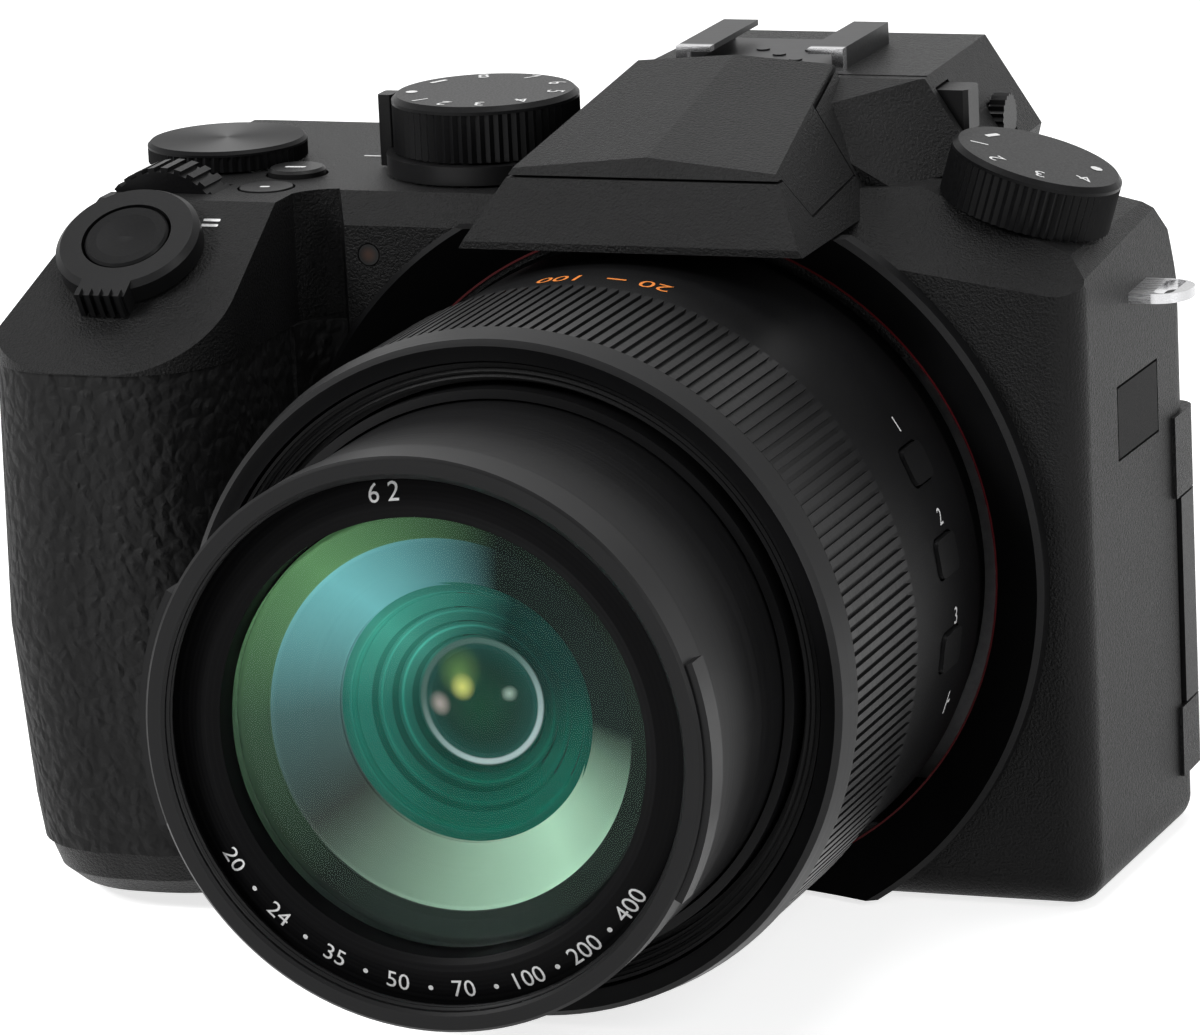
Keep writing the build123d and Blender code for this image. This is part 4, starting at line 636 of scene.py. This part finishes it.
def lathe_points(profile, turns=128):
    """Profile rows (radius, y) turned round the lens axis: (r cos a, y, lens height + r sin a)."""
    profile = np.asarray(profile, float)
    angles = np.linspace(0, 2 * pi, turns, endpoint=False)
    radius = profile[:, 0][:, None]
    x = radius * np.cos(angles)
    z = lens_z + radius * np.sin(angles)
    y = np.broadcast_to(profile[:, 1][:, None], x.shape)
    return np.stack([x, y, z], axis=-1)

# %% [markdown]
# ## The filter thread
#
# Filters screw into the front rim, and from the front its thread shows as fine bright lines.
# A helix whose ridge is a raised cosine is close to the real sixty-degree thread at this size.
# A stack of plain rings would look the same from afar, but wouldn't run out at the mouth.

# %% Thread in the rim
def thread_points(radius, depth, pitch, start, turns, steps=96):
    """Strip wound in a helix: radius minus depth times a raised cosine across the strip."""
    around = np.linspace(0, 2 * pi * turns, int(steps * turns))[:, None]
    across = np.linspace(-0.5, 0.5, 7)[None, :]
    fade = np.clip(np.minimum(around, around[-1] - around) / 0.8, 0, 1)
    r = radius - depth * fade * (0.5 + 0.5 * np.cos(2 * pi * across))
    y = start + pitch * (around / (2 * pi) + across)
    return np.stack([r * np.cos(around), y, lens_z + r * np.sin(around)], axis=-1)


thread_r, thread_depth, thread_pitch = 0.03078, 0.00036, 0.00075
thread_start_y, thread_turns = -0.1014, 2.1
thread_rows = thread_points(thread_r, thread_depth, thread_pitch, thread_start_y, thread_turns)
thread = grid_mesh("rim_thread", thread_rows, False, rim_black, "zoom_front")

# %% [markdown]
# ## Stepped rings of the lens cell
#
# Between the front glass and the inner group the cell narrows in small steps, which stop stray
# light. Each step catches its own line of light, so the cone is lathed: one row of points to
# each tread and each riser, with the same painted reflections as the ring in front of it.

# %% Stepped cone
def stairs(start, stop, steps):
    """Profile of treads and risers: the radius moves on first, then the depth follows it."""
    radius = np.linspace(start[0], stop[0], steps + 1)
    depth = np.linspace(start[1], stop[1], steps + 1)
    return list(zip(np.repeat(radius, 2)[1:], np.repeat(depth, 2)[:-1]))


outer_top, outer_foot, outer_steps = (0.0249, -0.09392), (0.02165, -0.09255), 4
inner_top, inner_foot, inner_steps = (0.0215, -0.09245), (0.0151, -0.08745), 10
cone_rows = stairs(outer_top, outer_foot, outer_steps) + stairs(inner_top, inner_foot, inner_steps)
# The columns are taken the other way round, so that the faces look forwards and inwards.
cone_points = lathe_points(cone_rows)[:, ::-1]
stepped_cone = grid_mesh("stepped_cone", cone_points, True, ring_and_painted_cone, "zoom_front")

# %% [markdown]
# ## The eyecup
#
# The cup round the viewfinder is soft rubber, so the plain solid stands only for its space. The
# real one has a rolled lip, a waist that lets it fold and a wide mouth. It is a tube carried
# round a rounded rectangle: one row of points per step of its wall, from the foot out over the
# lip and back down the inside.

# %% Rubber eyecup
def rounded_loop(half_wide, half_high, corner, steps=24):
    """Rounded rectangle as four arcs: corner centre + corner radius (cos a, sin a), a quarter turn each."""
    quarter = np.linspace(0, pi / 2, steps)
    a = np.concatenate([quarter + pi / 2 * k for k in range(4)])
    sign_x = np.repeat([1, -1, -1, 1], steps)
    sign_z = np.repeat([1, 1, -1, -1], steps)
    x = sign_x * (half_wide - corner) + corner * np.cos(a)
    z = sign_z * (half_high - corner) + corner * np.sin(a)
    return np.stack([x, z], axis=-1)


cup_low, cup_high = (np.array(corner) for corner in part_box("eyecup"))
cup_mid = (cup_low + cup_high) / 2
cup_half = (cup_high - cup_low) / 2
cup_depth = cup_high[1] - cup_low[1]
foot_corner, corner_share, least_corner = 0.0065, 0.55, 0.002
# Each step of the wall: how far it lies inside the box, and its share of the way to the lip.
wall_steps = [
    (0.0016, 0.00), (0.0021, 0.10), (0.0026, 0.30), (0.0024, 0.45), (0.0015, 0.62), (0.0006, 0.80),
    (0.0001, 0.92), (0.0002, 0.97), (0.0007, 1.00), (0.0014, 0.995), (0.0019, 0.95), (0.0026, 0.80),
    (0.0036, 0.60), (0.0048, 0.35), (0.0056, 0.12), (0.0060, 0.02),
]
rows = []
for inset, share in wall_steps:
    corner = max(foot_corner - inset * corner_share, least_corner)
    loop = rounded_loop(cup_half[0] - inset, cup_half[2] - inset, corner)
    depth = np.full(len(loop), cup_low[1] + share * cup_depth)
    rows.append(np.stack([cup_mid[0] + loop[:, 0], depth, cup_mid[2] + loop[:, 1]], axis=-1))
cup = grid_mesh("eyecup_rubber", np.array(rows), True, fine_rubber, "camera")
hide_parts("eyecup")

# %% [markdown]
# ## Marks and numbers
#
# White marks are printed or filled engravings about a twentieth of a millimetre proud. They
# are made from Blender's own text, turned into a mesh and then laid on the surface by a
# formula: a plane for dial tops, a cylinder for barrels and a cone for the name ring. Only
# plain numbers, dots and bars are used.

# %% Ink and text helpers
barrel_r = 0.03975
ring_lip_r, ring_front_y, ring_slope = 0.0268, -0.0994, 0.2667
ink_lift = 0.00005


def ink(name, color):
    """Matt printing ink with a slightly uneven coat."""
    material, tree, shader = start_material(name, color, 0.5)
    cover = speckle(tree, place(tree), 4000.0, 2.0)
    pale = tuple(min(1.0, c * 1.06) for c in color)
    dull = tuple(c * 0.86 for c in color)
    tree.links.new(tones(tree, cover, (0.3, dull), (0.6, pale)), shader.inputs["Base Color"])
    return material


white_ink = ink("white_ink", (0.72, 0.72, 0.72))
orange_ink = ink("orange_ink", (0.75, 0.22, 0.03))


def text_shape(words, height):
    """Flat points and faces of a text of the given height, centred on zero."""
    curve = bpy.data.curves.new("text", "FONT")
    curve.body = words
    curve.size = height * 1.4
    curve.align_x = "CENTER"
    curve.align_y = "CENTER"
    curve.resolution_u = 3
    holder = bpy.data.objects.new("text", curve)
    bpy.context.scene.collection.objects.link(holder)
    bpy.context.view_layer.update()
    mesh = bpy.data.meshes.new_from_object(holder.evaluated_get(bpy.context.evaluated_depsgraph_get()))
    points = np.zeros(len(mesh.vertices) * 3)
    mesh.vertices.foreach_get("co", points)
    faces = [tuple(face.vertices) for face in mesh.polygons]
    bpy.data.objects.remove(holder)
    bpy.data.curves.remove(curve)
    bpy.data.meshes.remove(mesh)
    return points.reshape(-1, 3)[:, :2], faces


def dot_shape(radius):
    """Flat disc of twenty corners."""
    corners = 20
    angles = np.linspace(0, 2 * pi, corners, endpoint=False)
    return radius * np.stack([np.cos(angles), np.sin(angles)], axis=-1), [tuple(range(corners))]


def bar_shape(width, height):
    """Flat bar with clipped corners."""
    w, h, c = width / 2, height / 2, min(width, height) * 0.2
    right = [(w - c, -h), (w, -h + c), (w, h - c), (w - c, h)]
    left = [(-w + c, h), (-w, h - c), (-w, -h + c)]
    points = [(-w + c, -h), *right, *left]
    return np.array(points), [tuple(range(len(points)))]


def on_plane(origin, right, up):
    """Formula that lays flat points on a plane: origin + x right + y up."""
    origin, right, up = (np.array(v, float) for v in (origin, right, up))
    right /= np.linalg.norm(right)
    up /= np.linalg.norm(up)
    return lambda flat: origin + flat[:, :1] * right + flat[:, 1:] * up


def along_barrel(radius, y, angle):
    """Formula for words that run along the lens: x goes back along the axis, y goes up round the barrel."""
    def lay(flat):
        a = radians(angle) + flat[:, 1] / radius
        return np.stack([radius * np.cos(a), y + flat[:, 0], lens_z + radius * np.sin(a)], axis=-1)
    return lay


def over_barrel(radius, y, angle):
    """Formula for words that run round the lens and are read from behind: x goes round, y goes forwards."""
    def lay(flat):
        a = radians(angle) + flat[:, 0] / radius
        return np.stack([radius * np.cos(a), y - flat[:, 1], lens_z + radius * np.sin(a)], axis=-1)
    return lay


def on_front(radius, angle, upright):
    """Formula for words on the sloping name ring, feet inwards if upright is 1 and outwards if it is -1."""
    def lay(flat):
        a = radians(angle) - upright * flat[:, 0] / radius
        r = radius + upright * flat[:, 1]
        y = ring_front_y + (r - ring_lip_r) * ring_slope - ink_lift
        return np.stack([r * np.cos(a), y, lens_z + r * np.sin(a)], axis=-1)
    return lay


def print_marks(name, marks, material, body):
    """One object from several (shape, formula) pairs, riding on a body."""
    all_points, all_faces, count = [], [], 0
    for (flat, faces), lay in marks:
        all_points.append(lay(np.asarray(flat)))
        all_faces += [tuple(corner + count for corner in face) for face in faces]
        count += len(flat)
    mesh = bpy.data.meshes.new(name)
    mesh.from_pydata(np.vstack(all_points).tolist(), [], all_faces)
    mesh.materials.append(material)
    mesh.update()
    piece = bpy.data.objects.new(name, mesh)
    bpy.context.scene.collection.objects.link(piece)
    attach(piece, body)
    print(name, len(marks), "marks,", len(mesh.polygons), "faces")
    return piece

# %% Numbers on the dial tops
dial_height, top_lift = 0.0023, 0.00004


def highest(name, axis):
    """How far a solid reaches along an axis: the largest dot product of its corners with it."""
    mesh = nodes[name].data
    points = np.zeros(len(mesh.vertices) * 3)
    mesh.vertices.foreach_get("co", points)
    return float((points.reshape(-1, 3) @ np.array(axis)).max())


def mark_shape(word, height):
    """A dot for ".", a bar for "-" and plain numbers for anything else."""
    if word == ".":
        return dot_shape(height * 0.32)
    if word == "-":
        return bar_shape(height * 1.1, height * 0.3)
    return text_shape(word, height)


def dial_marks(words, angles, foot, axis, radius, name):
    """Words round a dial top at angles from +X towards +Y, standing feet inwards on the surface."""
    axis = np.array(axis, float)
    side = np.cross((0.0, 1.0, 0.0), axis)
    side /= np.linalg.norm(side)
    front = np.cross(axis, side)
    foot = np.array(foot, float)
    centre = foot + axis * (highest(name, axis) - foot @ axis + top_lift)
    marks = []
    for word, angle in zip(words, np.radians(angles)):
        out = side * cos(angle) + front * sin(angle)
        along = side * sin(angle) - front * cos(angle)
        marks.append((mark_shape(word, dial_height), on_plane(centre + out * radius, along, out)))
    return marks


mode_words = ["1", "2", "3", "4", "5", "6", "7", "8", "-", "."]
mode_angles = [-129, -103, -74, -40, 0, 36, 72, 112, 150, -165]
mode_foot, mode_mark_r = (-0.028, -0.0004, 0.085), 0.0091
mode_marks = dial_marks(mode_words, mode_angles, mode_foot, (0, 0, 1), mode_mark_r, "mode_dial")
print_marks("mode_numbers", mode_marks, white_ink, "mode_dial")
tilt = radians(17.0)
drive_words = ["-", "1", "2", "3", "4", "."]
drive_angles = [160, -160, -118, -72, -22, 24]
drive_foot, drive_mark_r = (0.0406, -0.0006, 0.0814), 0.0072
drive_axis = (sin(tilt), 0, cos(tilt))
drive_marks = dial_marks(drive_words, drive_angles, drive_foot, drive_axis, drive_mark_r, "drive_dial")
print_marks("drive_numbers", drive_marks, white_ink, "drive_dial")

# %% Numbers on the lens
small_height, scale_height, scale_y = 0.0021, 0.0029, -0.0401
function_places = ((-0.0312, 32.2), (-0.0309, 14.8), (-0.0301, -2.9))
function_marks = [
    (text_shape(str(number), small_height), along_barrel(barrel_r, y, angle))
    for number, (y, angle) in enumerate(function_places, start=1)
]
cross_angle = -19.5
function_marks.append((bar_shape(0.0004, 0.0030), along_barrel(barrel_r, -0.0279, cross_angle)))
function_marks.append((bar_shape(0.0012, 0.0004), along_barrel(barrel_r, -0.0273, cross_angle)))
print_marks("function_numbers", function_marks, white_ink, "camera")
scale_marks = [
    (text_shape(word, scale_height), over_barrel(barrel_r, scale_y, angle))
    for word, angle in (("20", 79.0), ("100", 96.0))
]
scale_marks.append((bar_shape(0.0024, 0.0005), over_barrel(barrel_r, scale_y, 86.0)))
print_marks("zoom_scale", scale_marks, orange_ink, "camera")
ring_words = ["20", ".", "24", ".", "35", ".", "50", ".", "70", ".", "100", ".", "200", ".", "400"]
ring_mark_r, top_mark_r, top_mark_height, top_mark_angle = 0.0290, 0.0284, 0.0022, 98.0
ring_marks = []
for word, angle in zip(ring_words, np.linspace(212, 322, len(ring_words))):
    shape = dot_shape(0.0003) if word == "." else text_shape(word, small_height)
    ring_marks.append((shape, on_front(ring_mark_r, angle, -1)))
ring_marks.append((text_shape("6 2", top_mark_height), on_front(top_mark_r, top_mark_angle, 1)))
print_marks("ring_numbers", ring_marks, white_ink, "zoom_front")

# %% Small marks on the body
slope = radians(31.0)
slope_up = (0, cos(slope), sin(slope))
lift = np.array([0, -sin(slope), cos(slope)]) * ink_lift
zoom_mark = bar_shape(0.0022, 0.00045)
deck_z = 0.085 + ink_lift
east, north = (1, 0, 0), (0, 1, 0)
body_marks = [
    (zoom_mark, on_plane(np.array((-0.05407, -0.02667, 0.08321)) + lift, east, slope_up)),
    (zoom_mark, on_plane(np.array((-0.05407, -0.02747, 0.08273)) + lift, east, slope_up)),
    (bar_shape(0.0030, 0.0005), on_plane((-0.0452, 0.0050, deck_z), east, north)),
    (dot_shape(0.0005), on_plane((-0.0425, 0.0050, deck_z), east, north)),
]
print_marks("deck_marks", body_marks, white_ink, "camera")
button_mark_height, button_mark_ahead = 0.0007, 0.0004
for name, width in (("record_button", 0.0026), ("exposure_button", 0.0012)):
    low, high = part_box(name)
    centre = ((low[0] + high[0]) / 2, (low[1] + high[1]) / 2 - button_mark_ahead, high[2] + top_lift)
    button_mark = (bar_shape(width, button_mark_height), on_plane(centre, (1, 0.1, 0), north))
    print_marks(name + "_mark", [button_mark], white_ink, name)

# %% [markdown]
# ## Floor, light and camera
#
# The part stands on a pale floor in soft studio light. Black plastic shows its shape only
# through what it reflects, so the lamps are large soft boxes: one high on the left, a long one
# on the right and one above. The white of the background is seen by the camera, in mirrors and
# through glass, but doesn't light the plastic. The camera was fitted to the photograph by least
# squares.

# %% Studio
floor_glow = 0.75


def seen_directly(tree):
    """1 for rays from the camera, off a mirror or through glass, and 0 for the others."""
    path = tree.nodes.new("ShaderNodeLightPath")
    total = compute(tree, "ADD", path.outputs["Is Camera Ray"], path.outputs["Is Glossy Ray"])
    total = compute(tree, "ADD", total, path.outputs["Is Transmission Ray"])
    return compute(tree, "MINIMUM", total, 1.0)


def studio_floor():
    """Wide pale floor; to rays that see it directly a glow lifts it to white, and shadows stay."""
    half, z = 3.0, -0.0002
    mesh = bpy.data.meshes.new("floor")
    corners = [(-half, -half, z), (half, -half, z), (half, half, z), (-half, half, z)]
    mesh.from_pydata(corners, [], [(0, 1, 2, 3)])
    floor = bpy.data.objects.new("floor", mesh)
    bpy.context.scene.collection.objects.link(floor)
    material, tree, shader = start_material("floor_white", (0.80, 0.80, 0.80), 0.9, Specular_IOR_Level=0.0)
    cloud = speckle(tree, place(tree), 3.0, 2.0)
    color = tones(tree, cloud, (0.3, (0.78, 0.78, 0.78)), (0.7, (0.82, 0.82, 0.82)))
    tree.links.new(color, shader.inputs["Base Color"])
    shader.inputs["Emission Color"].default_value = (1, 1, 1, 1)
    glow_strength = compute(tree, "MULTIPLY", seen_directly(tree), floor_glow)
    tree.links.new(glow_strength, shader.inputs["Emission Strength"])
    mesh.materials.append(material)
    floor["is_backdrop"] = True
    return floor


def soft_box(name, place_at, look_at, width, height, power):
    """Rectangular area lamp of the given size and power, facing a point."""
    data = bpy.data.lights.new(name, "AREA")
    data.shape = "RECTANGLE"
    data.size = width
    data.size_y = height
    data.energy = power
    lamp = bpy.data.objects.new(name, data)
    bpy.context.scene.collection.objects.link(lamp)
    lamp.location = place_at
    lamp.rotation_euler = (Vector(look_at) - Vector(place_at)).to_track_quat("-Z", "Y").to_euler()
    return lamp


def studio_world(strength):
    """Pale grey light all round; to the camera, to mirrors and through glass it is white."""
    world = bpy.data.worlds.new("studio")
    world.use_nodes = True
    tree = world.node_tree
    light = tree.nodes["Background"]
    light.inputs["Color"].default_value = (1, 1, 1, 1)
    light.inputs["Strength"].default_value = strength
    white = tree.nodes.new("ShaderNodeBackground")
    white.inputs["Color"].default_value = (1, 1, 1, 1)
    white.inputs["Strength"].default_value = 1.0
    choose = tree.nodes.new("ShaderNodeMixShader")
    tree.links.new(seen_directly(tree), choose.inputs["Fac"])
    tree.links.new(light.outputs["Background"], choose.inputs[1])
    tree.links.new(white.outputs["Background"], choose.inputs[2])
    tree.links.new(choose.outputs["Shader"], tree.nodes["World Output"].inputs["Surface"])
    bpy.context.scene.world = world


studio_floor()
ambient_strength = 0.2
studio_world(ambient_strength)
target = (0.0, -0.03, 0.045)
lamps = (
    ("key_box", (-0.75, -0.75, 0.85), 0.36, 0.36, 15.0),
    ("side_box", (0.85, -0.35, 0.45), 0.2, 0.9, 3.0),
    ("top_box", (0.0, 0.15, 0.95), 0.6, 0.4, 4.0),
)
for lamp_name, stand, width, height, watts in lamps:
    soft_box(lamp_name, stand, target, width, height, watts)
print("lamps:", [lamp[0] for lamp in lamps])

# %% Camera
def fitted_camera():
    """Camera with the fitted direction, roll, distance and focal length."""
    turn, lift, roll = radians(20.5395), radians(13.9365), radians(-2.6775)
    distance, off_x, off_y, aim_y = 0.87601, 0.0072553, -0.0060734, -0.022
    right = np.array([cos(turn), sin(turn), 0.0])
    back = np.array([sin(turn) * cos(lift), -cos(turn) * cos(lift), sin(lift)])
    up = np.cross(back, right)
    right, up = cos(roll) * right + sin(roll) * up, -sin(roll) * right + cos(roll) * up
    where = np.array([0.0, aim_y, lens_z]) + distance * back - off_x * right - off_y * up
    data = bpy.data.cameras.new("camera_view")
    data.sensor_width = 36.0
    photo_wide, photo_high = 1200, 1035
    focal_px, middle_x, middle_y = 7263.27, 600.346, 517.594
    data.lens = focal_px / photo_wide * data.sensor_width
    data.shift_x = (photo_wide / 2 - middle_x) / photo_wide
    data.shift_y = (middle_y - photo_high / 2) / photo_wide
    data.clip_start = 0.01
    data.clip_end = 20.0
    camera = bpy.data.objects.new("camera_view", data)
    bpy.context.scene.collection.objects.link(camera)
    pose = Matrix(np.column_stack([right, up, back, where]).tolist() + [[0, 0, 0, 1]])
    camera.matrix_world = pose
    bpy.context.scene.camera = camera
    print("camera", [round(v, 4) for v in where], "lens", round(data.lens, 2))


fitted_camera()
bpy.context.scene.view_settings.view_transform = "Standard"

# %% Check the size and finish
bpy.context.view_layer.update()
low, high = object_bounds()
print("visual box", [round(v * 1000, 1) for v in (*low, *high)])
